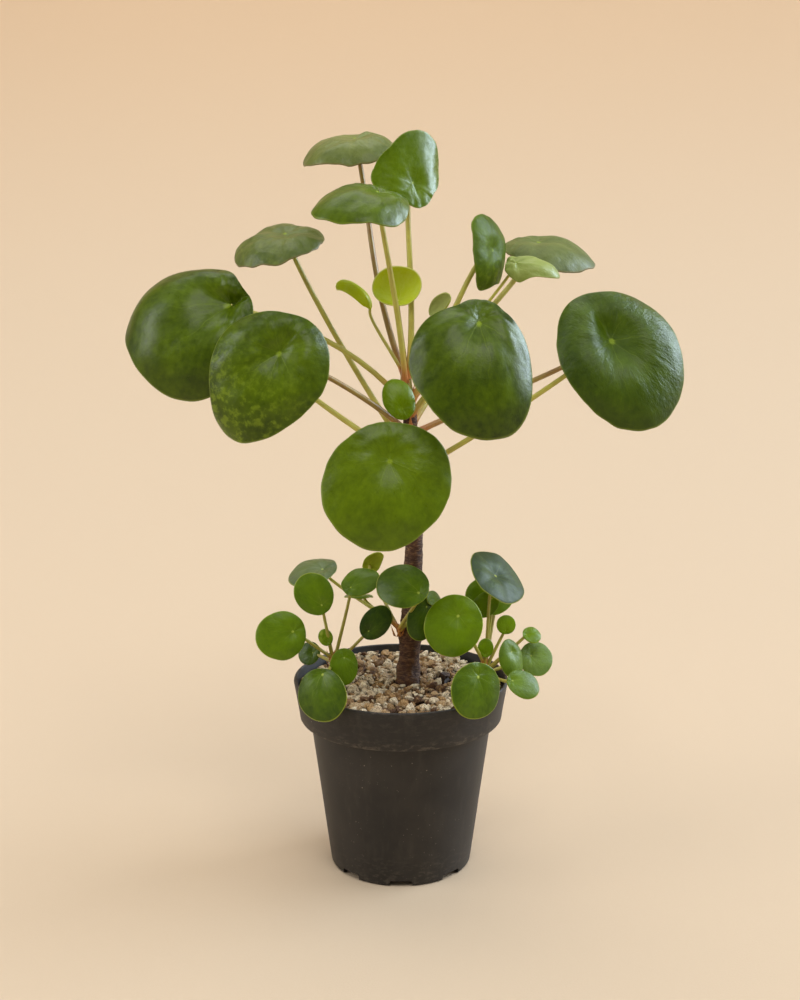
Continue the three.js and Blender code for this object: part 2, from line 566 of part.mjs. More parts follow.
/** The short stem of an offshoot, from the soil to just above its top. */
function uprightStem(top) {
  const line = new THREE.LineCurve3(
    new THREE.Vector3(top.x, top.y, OFFSHOOT_BOTTOM),
    new THREE.Vector3(top.x, top.y, top.z + 1),
  );
  const { foot, fall, sides, segments } = OFFSHOOT_STEM;
  return bentRod(line, (t) => foot - fall * t, sides, segments);
}

/** The shoot on the side of the trunk: a bud with its leaves, clear of the trunk itself. */
function sideShoot() {
  const bud = new THREE.IcosahedronGeometry(BUD_RADIUS, 1);
  bud.translate(SIDE_TOP.x, SIDE_TOP.y, SIDE_TOP.z - 2);
  const shoot = offshoot(SIDE_SHOOT, [mergeVertices(bud)], SIDE_TOP);
  return shoot.subtract(toSolid(stemPiece(TRUNK_BOTTOM, TRUNK_TOP, TRUNK_RINGS, GAP + SCAR_HEIGHT)));
}

// ---------------------------------------------------------------- the plant
const plant = new THREE.Group();
plant.name = 'potted_pilea';

/** Adds one named piece to the plant. */
function add(name, geometry, colour, roughness) {
  const material = new THREE.MeshStandardMaterial({ color: colour, roughness, metalness: 0 });
  material.name = name;
  const mesh = new THREE.Mesh(geometry, material);
  mesh.name = name;
  plant.add(mesh);
}

add('pot', toGeometry(pot()), 0x25272b, 0.6);
add('potting_soil', toGeometry(soil()), 0x2b2019, 0.95);
add('pumice_grit', toGeometry(grit()), 0xa8957b, 0.95);
add('trunk', toGeometry(toSolid(
  stemPiece(TRUNK_BOTTOM, TRUNK_TOP, TRUNK_RINGS, 0, SCAR_HEIGHT),
)), 0x3f2c2a, 0.8);
add('crown_stalks', toGeometry(crown()), 0x5f5a2c, 0.5);
LEAVES.forEach((leaf, i) => {
  const young = leaf.name.includes('young') || leaf.name.includes('pale');
  const solid = toSolid(mainBlade(leaf, i, BLADE_THICKNESS));
  add(leaf.name, toGeometry(solid), young ? 0x7d9a35 : 0x2c5230, 0.35);
});
add('left_offshoot', toGeometry(
  offshoot(LEFT_OFFSHOOT, [uprightStem(LEFT_TOP)], LEFT_TOP),
), 0x3d6a35, 0.4);
add('right_offshoot', toGeometry(
  offshoot(RIGHT_OFFSHOOT, [uprightStem(RIGHT_TOP)], RIGHT_TOP),
), 0x44703a, 0.4);
add('side_shoot', toGeometry(sideShoot()), 0x4a7538, 0.4);

export default plant;
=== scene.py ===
import math
import random

import bpy
from mathutils import Matrix, Vector, noise


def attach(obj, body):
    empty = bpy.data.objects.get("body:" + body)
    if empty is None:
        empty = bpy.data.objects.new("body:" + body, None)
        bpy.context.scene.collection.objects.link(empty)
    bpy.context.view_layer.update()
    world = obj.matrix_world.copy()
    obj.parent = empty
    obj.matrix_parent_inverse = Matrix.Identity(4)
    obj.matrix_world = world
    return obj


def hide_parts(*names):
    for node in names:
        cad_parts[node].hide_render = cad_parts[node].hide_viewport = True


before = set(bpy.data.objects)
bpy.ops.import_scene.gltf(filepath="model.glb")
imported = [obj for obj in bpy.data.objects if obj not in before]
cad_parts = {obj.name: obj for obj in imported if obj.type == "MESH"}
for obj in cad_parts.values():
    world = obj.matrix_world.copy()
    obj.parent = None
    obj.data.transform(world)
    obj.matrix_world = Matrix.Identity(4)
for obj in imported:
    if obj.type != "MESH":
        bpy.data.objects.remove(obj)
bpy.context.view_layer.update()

# A small tree-like pilea with round leaves, three young offshoots, pumice grit and a plain
# nursery pot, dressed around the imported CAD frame. Blender works in metres; the tables below
# give millimetres and degrees.
MM = 0.001

# ------------------------------------------------------------------ the plant's measures
POT_HEIGHT = 108
FOOT_RADIUS = 39.7
SHOULDER_RADIUS = 51
LIP_LOW_RADIUS = 56.6
RIM_RADIUS = 60
LEDGE = 85.5
WALL = 1.5
FLOOR_UNDERSIDE = 3.6
GRIT_LEVEL = 102
BLADE_THICKNESS = 0.8
SMALL_BLADE_THICKNESS = 0.7
STALK_RADIUS = 1.5
SMALL_STALK_RADIUS = 0.95
LARGE_LEAF = 40  # a leaf longer than this gets the finer blade
RIM_WAVE = 4  # degrees that a rim bends up and down on its way round
DIMPLE_DEPTH, DIMPLE_WIDTH = 0.1, 0.3  # at the navel, of the blade's half length
PHASE_STEP, SMALL_PHASE_STEP = 1.3, 1.7  # turn the wave of the rim from leaf to leaf
ROOT_STEP = 0.7  # each stalk of an offshoot leaves a little lower than the last

# The bowed middle line of the trunk and growing tip: x, y, z and radius.
STEM_LINE = [
    (3.4, 4, 60, 6.3), (3.4, 4, 100, 6.2), (5.2, 2, 128, 5.9), (7.3, 0, 183, 4.9),
    (6.5, 0, 220, 4.3), (5, 0, 254, 3.8), (2.5, 0, 276, 2.9), (1.5, 0, 284, 1.4),
]


def leaf(name, navel, yaw, pitch, roll, size, curl=(18, 20), offset=0.35, root=None, **more):
    """One leaf: where its stalk meets the blade, where the face looks, its size and its bends."""
    return dict(name=name, navel=navel, yaw=yaw, pitch=pitch, roll=roll, size=size, curl=curl,
                offset=offset, root=root, **more)


def sprig_leaf(navel, yaw, pitch, roll, size, offset=0.35, curl=(18, 20), **more):
    """A small leaf of an offshoot."""
    return leaf(None, navel, yaw, pitch, roll, size, curl, offset, crumple=1.6, **more)


LEAVES = [
    leaf("leaf_top_left", (-24.5, 34, 401.4), -39, 73, 31, (58, 57), (53, 52), 0.19, (272, 150),
         lead=0.35, lean=-6, skin="dusty", tone=0.6, stalk="bronze", crumple=2.2,
         rim=(1, -4, -9, 10, 2, -7, 4, 4, 10, 11, -1, -3)),
    leaf("leaf_top", (6, 8, 378), 32, 13, 181, (43, 40), (41, -8), 0.45, (276, 60),
         lean=3, skin="bright", tone=0.45, wrinkle=0, crumple=1,
         rim=(-5, 6, 6, -5, -12, 10, 23, 5, -8, 20, -4, -18)),
    leaf("leaf_upper_front", (-11.6, -22, 374), 6, 63, 41, (53, 56), (53, 47), 0.51, (274, -20),
         lean=2, tone=0.4, wrinkle=0.2, crumple=1.8,
         rim=(-11, 3, -8, -1, 4, 4, 12, 4, -3, -4, -1, -14)),
    leaf("leaf_upper_left", (-61.8, 15, 351.1), -31, 68, 30, (55, 54), (41, 48), 0.2, (236, -110),
         bow=-6, skin="dusty", tone=0.4, yellow=0.5, crumple=2.4,
         rim=(0, -4, -2, -4, 1, 2, -6, -2, -2, 2, 1, -6)),
    leaf("leaf_left", (-93.5, -10, 318.1), -23, 23, 53, (84, 87), (63, 52), 0.62, (262, -100),
         bow=15, egg=0.08, cleft=5, sink=7, tone=0.3, crumple=1.5,
         rim=(-14, 5, 24, 0, 7, -10, -15, -2, -2, -5, 9, -4)),
    leaf("leaf_front_left", (-61.9, -45, 295), -9, 12, 35, (66, 76), (43, 48), 0.32, (247, -70),
         bow=5, egg=0.1, cleft=1.6, sink=2.5, tone=0.35, yellow=1.5, crumple=1.6, stalk="bronze",
         rim=(15, -10, -7, 12, -4, -12, -4, 6, 7, 2, -9, -4)),
    leaf("leaf_front", (-5.5, -65, 243.5), 4, 14, 4, (66, 68), (22, 25), 0.4, (222, -20),
         tone=0.54, wrinkle=0.2, rim=(-2, 1, 5, 2, -4, 0, 1, 4, 9, 2, -5, -11)),
    leaf("leaf_front_right", (38.8, -58, 311.8), 4, 19, 11, (68, 82), (46, 51), 0.61, (256, 20),
         egg=0.1, cleft=1.8, sink=0.9, tone=0.27, wrinkle=0.15, crumple=1.3,
         rim=(-10, -16, 1, 9, -11, 9, 8, -2, -14, -3, 0, 5)),
    leaf("leaf_right", (110.8, -20, 299.9), 7, 24, -25, (72, 89), (44, 55), 0.24, (226, 80),
         bow=-3, cleft=4.5, sink=5, skin="wrinkled", tone=0.35, wrinkle=0.8,
         rim=(0, -2, -8, -6, -3, 8, 2, -7, 3, 1, -5, 1)),
    leaf("leaf_edge_right", (48.5, 10, 343.3), 58, 6, -8, (41, 44), (36, 46), 0.05, (262, 40),
         skin="shaded", tone=0.4, yellow=1.2,
         rim=(-16, 6, -2, -11, -12, 2, 1, 0, 7, 4, 2, 0)),
    leaf("leaf_back_right", (76.2, 45, 345.7), 27, 71, -24, (55, 53), (39, 46), 0.3, (264, 110),
         skin="dusty", tone=0.5, crumple=1.8, matt=0.7,
         rim=(0, -2, -3, -5, 0, -1, 5, 1, -1, 0, 4, 8)),
    leaf("leaf_pale_right", (61.3, 8, 336.5), 12, 47, -73, (22.5, 33), (69, 46), 0.54, (266, 70),
         skin="pale", tone=0.5, crumple=6, width=0.6,
         rim=(11, -20, -20, 11, 7, -9, -18, -18, 3, 0, -5, 0)),
    leaf("leaf_young_cupped", (-1.6, 1, 317), 5, 0, 175, (29, 26), (-45, -75), 0.7, (280, 90),
         lead=0.15, skin="young", tone=0.15, stalk="orange", width=0.6),
    leaf("leaf_young_curled", (-16.4, 8, 312.2), 61, 61, 184, (10.2, 37), (61, 98), 0.92,
         (279, -90), skin="young", tone=0.05, width=0.6, crumple=5,
         rim=(13, 5, 9, 13, 29, 15, 1, -2, -11, 13, 8, 16)),
    leaf("leaf_young_folded", (16.3, 4, 309.5), -39, 9, -133, (10.5, 19.4), (-70, -58), 0.9,
         (278, 30), skin="pale", tone=1.0, width=0.6, crumple=2,
         rim=(7, 16, -8, 6, 6, 0, 10, 1, 0, -7, 20, 6)),
    leaf("leaf_youngest", (0.8, -18, 262), 10, 25, 165, (18, 24), (30, 30), 0.5, (268, -30),
         skin="bright", tone=0.75, width=0.6),
    leaf("leaf_back_left", (-76, 35, 285), -150, 40, 0, (52, 56), (40, 40), 0.3, (230, -120),
         bow=-3, tone=0.6),
    leaf("leaf_back_far_right", (111, 42, 289), 110, 45, 20, (60, 64), (45, 40), 0.3,
         (246, 110), tone=0.5, stalk="bronze"),
    leaf("leaf_back", (-8, 58, 218), 175, 35, 10, (56, 60), (40, 35), 0.35, (222, 170),
         tone=0.6),
    leaf("leaf_back_upper", (40, 54, 298), 160, 45, -10, (58, 62), (45, 40), 0.35, (250, 150),
         tone=0.4),
]

LEFT_TOP = (-38, 4, 117)
RIGHT_TOP = (47, 0, 115)
SIDE_TOP = (-1.5, -3, 138)
OFFSHOOTS = {
    "left_offshoot": (LEFT_TOP, [
        sprig_leaf((-59, -12, 138), 0, 15, 70, (27, 30), 0.5, tone=0.65,
                   rim=(-3, -1, -1, 5, -1, -2, -8, -8, -4, 0, 3, -5)),
        sprig_leaf((-43.5, -6, 151), 5, 15, 145, (22, 25), 0.6, tone=0.6,
                   rim=(2, 2, 3, -6, -10, -5, -3, -3, -5, -9, -3, 0)),
        sprig_leaf((-40.5, 0, 127.5), -15, 15, 150, (8.5, 10), 0.7, tone=1.0, yellow=2),
        sprig_leaf((-50, 16, 116.5), -25, 30, 75, (14, 14), tone=0.2),
        sprig_leaf((-41, -48, 126), -25, 12, -5, (30, 29), 0.8, tone=0.25),
        sprig_leaf((-31, -18, 125), 10, 15, 5, (16, 21), 0.5, tone=0.7),
        sprig_leaf((-28, 1, 159), -10, 55, -130, (20, 23), 0.6, tone=0.5,
                   rim=(1, -1, -5, -2, -1, -2, -3, -7, 4, 4, 5, 2)),
        sprig_leaf((-18, -6, 136), 0, 15, -140, (16, 22), 0.6, tone=0.1),
    ]),
    "right_offshoot": (RIGHT_TOP, [
        sprig_leaf((31, -22, 150), -5, 15, 25, (32, 35), tone=0.68),
        sprig_leaf((40.5, -48, 124.5), 25, 12, 15, (30, 31), 0.5, tone=0.35),
        sprig_leaf((52, 0, 166), 55, 45, -50, (36, 38), 0.1, tone=0.0, dust=0.05, matt=1.0,
                   rim=(3, -4, -4, 4, 2, 0, -3, 2, 6, 5, 2, 4)),
        sprig_leaf((55, 16, 151), 10, 35, 85, (24, 29), tone=0.85),
        sprig_leaf((51, 6, 151.5), -10, 15, 45, (13.5, 17.5), 0.6, tone=0.7),
        sprig_leaf((58, -4, 136), 5, 10, 185, (11, 11), 0.6, tone=0.95),
        sprig_leaf((70, 2, 131.8), 20, 50, -75, (11, 11), 0.6, tone=0.9),
        sprig_leaf((60.5, -14, 127), 42, 20, 0, (19, 23), curl=(45, 30), tone=0.55, matt=0.6),
        sprig_leaf((73, 6, 118), 15, 35, -55, (21, 20), tone=0.6, dust=0.1, matt=0.8),
        sprig_leaf((60, -28, 115), 30, 40, -60, (17, 20), 0.7, tone=0.6, matt=0.6),
        sprig_leaf((47, -4, 122), -10, 15, 180, (9, 11), 0.7, tone=0.9),
    ]),
    "side_shoot": (SIDE_TOP, [
        sprig_leaf((-44.5, 27, 162.5), -35, 70, 50, (30, 29), 0.4, tone=0.3, dust=0.35,
                   rim=(3, -6, -6, 2, 8, 3, -3, -5, -5, -1, 2, 6)),
        sprig_leaf((-21, 19, 149), -5, 98, 80, (14, 17), tone=0.5),
        sprig_leaf((-17.9, 32, 163.6), 172, 30, 144, (11.9, 18.7), 0.49, (44, 42), tone=0.9,
                   yellow=1, rim=(15, 5, -5, -12, 2, 1, 10, -14, -1, 11, -16, -15)),
        sprig_leaf((10, -24, 163), -25, 45, 105, (27, 33), 0.7, tone=0.35),
        sprig_leaf((14, -11, 152), 15, 10, 20, (18, 25), 0.6, tone=0.2),
        sprig_leaf((16, -10, 155), 55, 35, -90, (10, 12), 0.6, tone=0.7, dust=0.2),
    ]),
}


# ------------------------------------------------------------------ bench helpers
def put_down():
    """Leaves edit mode with nothing selected."""
    if bpy.context.mode != "OBJECT":
        bpy.ops.object.mode_set(mode="OBJECT")
    bpy.ops.object.select_all(action="DESELECT")


def pick_up(piece):
    """Makes one piece the selected and active one."""
    put_down()
    piece.select_set(True)
    bpy.context.view_layer.objects.active = piece


def open_mesh(action=None):
    """Edit mode on the active piece, with all or nothing selected if asked."""
    bpy.ops.object.mode_set(mode="EDIT")
    if action:
        bpy.ops.mesh.select_all(action=action)


def draw_on(scale=1.0, move=(0, 0, 0)):
    """Extrudes the selected edges, widens them about their middle and moves them."""
    bpy.ops.mesh.extrude_edges_move()
    bpy.ops.transform.resize(value=(scale, scale, 1))
    bpy.ops.transform.translate(value=move)


def face_outwards():
    """Turns every face of the open mesh outwards and leaves edit mode."""
    bpy.ops.mesh.select_all(action="SELECT")
    bpy.ops.mesh.normals_make_consistent(inside=False)
    put_down()


def just_added(name):
    """Names the primitive that was just added."""
    piece = bpy.context.active_object
    piece.name = piece.data.name = name
    return piece


def modify(piece, kind, **settings):
    """Adds a modifier and applies it."""
    pick_up(piece)
    modifier = piece.modifiers.new(kind.lower(), kind)
    for key, value in settings.items():
        setattr(modifier, key, value)
    bpy.ops.object.modifier_apply(modifier=modifier.name)


def copy_of(piece, name):
    """A copy with its own mesh."""
    twin = piece.copy()
    twin.data = piece.data.copy()
    twin.name = twin.data.name = name
    bpy.context.scene.collection.objects.link(twin)
    return twin


def join(pieces, name):
    """Several modelled pieces as one."""
    put_down()
    for piece in pieces:
        piece.select_set(True)
    bpy.context.view_layer.objects.active = pieces[0]
    bpy.ops.object.join()
    return just_added(name)


def set_attribute(piece, name, values, kind="FLOAT"):
    """A value or vector for each point of the mesh, or one value for all of them."""
    if not isinstance(values, list):
        values = [values] * len(piece.data.vertices)
    layer = piece.data.attributes.get(name) or piece.data.attributes.new(name, kind, "POINT")
    flat = [x for value in values for x in value] if kind == "FLOAT_VECTOR" else values
    layer.data.foreach_set("vector" if kind == "FLOAT_VECTOR" else "value", flat)


def smooth(piece, degrees=180):
    """Smooth shading, with edges sharper than the angle kept crisp."""
    pick_up(piece)
    if degrees >= 180:
        bpy.ops.object.shade_smooth()
    else:
        bpy.ops.object.shade_smooth_by_angle(angle=math.radians(degrees))


def finish_piece(piece, material, slot, *nodes, degrees=180):
    """Smooths a piece and gives it its finish and its place in the frame; the slot is not used."""
    smooth(piece, degrees)
    bpy.ops.object.transform_apply(location=True, rotation=True, scale=True)
    piece.data.materials.clear()
    piece.data.materials.append(material)
    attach(piece, "root")
    if nodes:
        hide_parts(*nodes)


def stem_at(z):
    """Middle of the stem and its radius at a height."""
    for low, high in zip(STEM_LINE, STEM_LINE[1:]):
        if z <= high[2]:
            break
    t = (z - low[2]) / (high[2] - low[2])
    x, y, radius = (low[i] + (high[i] - low[i]) * t for i in (0, 1, 3))
    return Vector((x, y, z)), radius


def outward(degrees):
    """The level direction at an angle round a stem: 0 is the front, 90 the right."""
    return Vector((math.sin(math.radians(degrees)), -math.cos(math.radians(degrees)), 0))


def lumps(x, y, z):
    """Smooth noise between about -1 and 1."""
    return noise.noise(Vector((x, y, z)))


# ------------------------------------------------------------------ node helpers
class Wire:
    """A value on its way through a node tree, which can be added to, scaled and shaped."""

    def __init__(self, socket):
        self.socket = socket

    def math(self, operation, other=0.0, clamp=False):
        return wire("ShaderNodeMath", {0: self, 1: other}, operation=operation, use_clamp=clamp)

    def __add__(self, other):
        return self.math("ADD", other)

    def __sub__(self, other):
        return self.math("SUBTRACT", other)

    def __mul__(self, other):
        return self.math("MULTIPLY", other)

    def clamped(self):
        return self.math("ADD", clamp=True)

    def rise(self, low, high, to_low=0.0, to_high=1.0):
        """A smooth step of the value between two limits."""
        return wire("ShaderNodeMapRange", {0: self, 1: low, 2: high, 3: to_low, 4: to_high},
                    interpolation_type="SMOOTHSTEP")


def node(tree, kind, inputs=None, **settings):
    """One node with its settings, and values or wires for its inputs."""
    made = tree.nodes.new(kind)
    for key, value in settings.items():
        setattr(made, key, value)
    for label, value in (inputs or {}).items():
        if isinstance(value, Wire):
            tree.links.new(value.socket, made.inputs[label])
        else:
            made.inputs[label].default_value = value
    return made


def wire(kind, inputs, output=0, **settings):
    """The output of a new node in the tree of the wires that feed it."""
    tree = next(value.socket.id_data for value in inputs.values() if isinstance(value, Wire))
    return Wire(node(tree, kind, inputs, **settings).outputs[output])


def blend(factor, a, b, mode="MIX"):
    """Two colours blended; the factor is held between 0 and 1."""
    return wire("ShaderNodeMix", {0: factor, 6: a, 7: b}, 2, data_type="RGBA", blend_type=mode)


def vector(operation, a, b=(0, 0, 0)):
    return wire("ShaderNodeVectorMath", {0: a, 1: b}, operation=operation)


def parts_of(place):
    """The three parts of a vector."""
    split = node(place.socket.id_data, "ShaderNodeSeparateXYZ", {0: place})
    return [Wire(socket) for socket in split.outputs]


def grain(place, scale, detail, rough, stretch=None):
    """Noise at a scale per metre, stretched if asked."""
    if stretch:
        place = wire("ShaderNodeMapping", {0: place, 3: stretch})
    return wire("ShaderNodeTexNoise",
                {"Vector": place, "Scale": scale, "Detail": detail, "Roughness": rough})


def place_in(tree):
    """The place on the piece, in metres."""
    return Wire(node(tree, "ShaderNodeTexCoord").outputs["Object"])


def attribute(tree, name, output="Fac"):
    """A value that set_attribute left on the mesh."""
    return Wire(node(tree, "ShaderNodeAttribute", attribute_name=name).outputs[output])


def figure(draw, **inputs):
    """A node group with named inputs, whose colour, roughness and height draw wires up."""
    group = bpy.data.node_groups.new(draw.__name__, "ShaderNodeTree")
    for label, value in inputs.items():
        kind = "NodeSocketColor" if isinstance(value, tuple) else "NodeSocketFloat"
        made = group.interface.new_socket(name=label, in_out="INPUT", socket_type=kind)
        made.default_value = value
    labels = "Color", "Roughness", "Height"
    for label in labels:
        kind = "NodeSocketColor" if label == "Color" else "NodeSocketFloat"
        group.interface.new_socket(name=label, in_out="OUTPUT", socket_type=kind)
    start = node(group, "NodeGroupInput").outputs
    drawn = draw(group, {label: Wire(start[label]) for label in inputs})
    node(group, "NodeGroupOutput", dict(zip(labels, drawn)))
    return group


def colour(red, green, blue):
    """A colour as seen on screen, 0 to 255, for a node."""
    def linear(x):
        x /= 255
        return x / 12.92 if x <= 0.04045 else ((x + 0.055) / 1.055) ** 2.4
    return (linear(red), linear(green), linear(blue), 1.0)


def new_material(name, **principled):
    """A material with its tree and shader, and constants on the shader's own sockets."""
    material = bpy.data.materials.new(name)
    material.use_nodes = True
    tree = material.node_tree
    shader = next(n for n in tree.nodes if n.type == "BSDF_PRINCIPLED")
    for label, value in principled.items():
        shader.inputs[label.replace("_", " ")].default_value = value
    return material, tree, shader


def finish_material(name, look, values, bump, **principled):
    """A material whose colour, roughness and height come from a node group."""
    material, tree, shader = new_material(name, **principled)
    group = node(tree, "ShaderNodeGroup", values, node_tree=look).outputs
    relief = node(tree, "ShaderNodeBump", {"Height": Wire(group["Height"]), "Distance": bump,
                                           "Strength": 1.0})
    for source, label in ((group["Color"], "Base Color"), (group["Roughness"], "Roughness"),
                          (relief.outputs[0], "Normal")):
        tree.links.new(source, shader.inputs[label])
    return material


# ------------------------------------------------------------------ finishes
def leaf_figure(group, given):
    """Faint veins from the navel, patches, a thin pale margin with a painted rim highlight, painted
    light mid-blade and painted shade at the rim, dust with a painted sheen, wrinkles and a paler
    underside.
    """
    blade = attribute(group, "blade", "Vector")
    across, along, share = parts_of(blade)
    ray = vector("ADD", vector("NORMALIZE", vector("MULTIPLY", blade, (1, 1, 0))),
                 vector("MULTIPLY", blade, (0, 0, 0.8)))
    where = place_in(group)
    patches = grain(where, 60, 4, 0.6)
    mottle = grain(where, 260, 4, 0.62)
    rays = grain(ray, 11, 4, 0.62)
    creases = grain(ray, 3.2, 3, 0.5)
    hammered = grain(where, 330, 4, 0.6)
    fine = grain(where, 1500, 2, 0.5)

    # Seven faint lines leave the navel, bent a little, palest close to it.
    bent = across.math("ARCTAN2", along) + grain(blade, 2.2, 2, 0.5) * 0.9
    line = (bent * 3.5).math("SINE").math("ABSOLUTE")
    vein = (line * (share + 0.1)).rise(0.0064, 0.0512, 1, 0) * share.rise(0.05, 0.6, 1, 0.2)
    star = (rays * 0.05 + share).rise(0.04, 0.085, 1, 0)

    # Painted light and shade: the share term lightens the middle of the blade and darkens it
    # towards the rim; patches, mottle and rays are the leaf's own tone.
    tone = (patches.rise(0.3, 0.72, -0.11, 0.11) + attribute(group, "tone")
            + mottle.rise(0.3, 0.7, -0.06, 0.06) + rays.rise(0.3, 0.7, -0.05, 0.05)
            + share.rise(0.3, 0.95, 0.08, -0.04))
    yellowing = (attribute(group, "yellow") * mottle.rise(0.47, 0.7)).clamped() * 0.42
    # Dust and painted sheen: a pale grey-green over the creases that stands for both dust and the
    # sheen of light on the blade.
    dust = attribute(group, "dust") * creases.rise(0.25, 0.75, 0.35, 0.75)
    body = blend(tone, given["Deep"], given["Light"])
    for amount in (yellowing, vein * given["Veins"], star * 0.8):
        body = blend(amount, body, given["Vein"])
    # The pale margin is partly the leaf's own edge and partly a painted rim highlight.
    body = blend(share.rise(0.965, 0.99, 0, 0.45), body, given["Margin"])
    body = blend(dust, body, given["Dust"])
    back = blend(patches.rise(0.3, 0.72, 0, 0.3), given["Underside"], given["Deep"])
    back = blend(vein * 0.75, back, given["Vein"])

    under = attribute(group, "under").rise(0.35, 0.65)
    rough = (mottle - 0.5) * 0.3 + given["Gloss"] + attribute(group, "matt") * 0.22 + under * 0.25
    wrinkle = attribute(group, "wrinkle")
    height = (hammered * 0.5 + fine * 0.06 + rays * wrinkle * share.rise(0.08, 0.6, 0, 1.5)
              + creases * (wrinkle * 1.8 + 0.3) * share.rise(0.08, 0.45) - vein * 0.12)
    return blend(under, body, back), rough, height


def stalk_figure(group, given):
    """Stalks: olive or bronze by the stalk, orange at the foot, finely ridged along."""
    where = place_in(group)
    patches = grain(where, 120, 3, 0.6)
    fibres = grain(where, 1500, 2, 0.5, (1, 1, 0.12))
    bronze = attribute(group, "bronze") + patches.rise(0.3, 0.75, -0.15, 0.2)
    foot = (patches * 0.05 + attribute(group, "along")).rise(0.04, 0.17, 1, 0)
    body = blend(bronze, given["Olive"], given["Bronze"])
    body = blend(fibres * 0.35, body, given["Olive"], "SOFT_LIGHT")
    return (blend(foot, body, given["Foot"]), patches.rise(0.2, 0.8, 0.36, 0.5),
            fibres * 0.6 + patches)


def bark_figure(group, given):
    """Bark: dark maroon brown, ringed, scaly at the foot, greener towards the growing tip."""
    where = place_in(group)
    patches = grain(where, 160, 4, 0.62)
    scales = grain(where, 420, 4, 0.65, (1, 1, 2.6))
    fibres = grain(where, 900, 3, 0.6, (1, 1, 0.35))
    ridge = (scales.rise(0.45, 0.72) + attribute(group, "ring") * 0.5).clamped()
    green = (patches * 0.012 + parts_of(where)[2]).rise(0.262, 0.278)
    body = blend(ridge * 0.75, given["Dark"], given["Ridge"])
    body = blend(patches.rise(0.35, 0.7, 0, 0.45), body, given["Stain"])
    return (blend(green, body, given["Green"]), scales.rise(0.3, 0.7, 0.85, 0.62),
            scales + fibres * 0.4)


def pumice_figure(group, given):
    """Pumice and clay grains: cream, tan and brown by the grain, pitted, darker in the pits, with
    painted shade low down between the grains.
    """
    where = place_in(group)
    shade = attribute(group, "shade")
    pits = grain(where, 900, 5, 0.7)
    stains = grain(where, 380, 3, 0.6)
    body = blend(shade.rise(0.1, 0.7), given["Cream"], given["Tan"])
    body = blend(shade.rise(0.6, 0.95, 0, 0.95), body, given["Brown"])
    body = blend(stains.rise(0.5, 0.7, 0, 0.7), body, given["Tan"])
    body = blend(pits.rise(0.34, 0.5, 0.85, 0), body, given["Brown"])
    # Painted shade: the lower a point lies under the grit level, the more it takes the dark gap
    # colour.
    body = blend(attribute(group, "deep") * 0.9, body, given["Gap"])
    return body, pits.rise(0.2, 0.8, 0.95, 0.82), stains * 0.6 + pits


def soil_figure(group, given):
    """Damp potting soil: dark crumbs with a few pale flecks."""
    where = place_in(group)
    crumbs = grain(where, 500, 5, 0.7)
    flecks = grain(where, 900, 2, 0.5)
    body = blend(crumbs.rise(0.4, 0.7), given["Dark"], given["Crumb"])
    body = blend(flecks.rise(0.66, 0.72, 0, 0.6), body, given["Fleck"])
    return body, crumbs.rise(0.2, 0.8, 0.98, 0.85), crumbs


def plastic_figure(group, given):
    """Charcoal pot plastic: satin, dusty on its edges with a painted highlight on the ledge and
    rim, with a few pale scuffs and specks.
    """
    where = place_in(group)
    patches = grain(where, 28, 4, 0.6)
    streaks = grain(where, 160, 3, 0.6, (1, 1, 0.18))
    specks = grain(where, 900, 2, 0.5)
    skin = grain(where, 2600, 2, 0.5)
    scuffs = grain(where, 210, 4, 0.7, (1, 1, 2.2))
    # The edge mask is dust and scuffs, and on the ledge and rim also a painted highlight.
    dusty = attribute(group, "edge") * scuffs.rise(0.47, 0.68, 0.03, 0.95)
    speck = specks.rise(0.71, 0.76, 0, 0.75) * patches.rise(0.45, 0.62, 0.1, 1)
    body = given["Body"]
    for amount in (patches.rise(0.35, 0.7, 0, 0.05), streaks.rise(0.5, 0.8, 0, 0.045),
                   dusty * 0.42, speck):
        body = blend(amount, body, given["Dust"])
    rough = dusty * 0.25 + patches.rise(0.2, 0.8, 0.5, 0.62)
    return body, rough, skin * 0.35 + streaks * 0.5


LEAF = figure(leaf_figure, Deep=colour(52, 70, 8), Light=colour(92, 116, 22),
              Vein=colour(140, 165, 40), Margin=colour(140, 155, 60),
              Underside=colour(120, 140, 75), Dust=colour(170, 182, 160), Gloss=0.36, Veins=0.16)
STALK = figure(stalk_figure, Olive=colour(192, 188, 88), Bronze=colour(148, 112, 62),
               Foot=colour(190, 120, 60))
WOOD = figure(bark_figure, Dark=colour(66, 38, 22), Ridge=colour(152, 110, 68),
              Green=colour(140, 130, 60), Stain=colour(72, 40, 30))
GRAINS = figure(pumice_figure, Cream=colour(240, 226, 198), Tan=colour(186, 148, 96),
                Brown=colour(84, 52, 26), Gap=colour(34, 25, 17))
CRUMBS = figure(soil_figure, Dark=colour(38, 27, 19), Crumb=colour(84, 62, 44),
                Fleck=colour(190, 176, 150))
CHARCOAL = figure(plastic_figure, Body=colour(15, 12, 11), Dust=colour(150, 138, 122))

GLOSSY = {"Specular_IOR_Level": 0.2, "Coat_Weight": 0.03, "Coat_Roughness": 0.2}
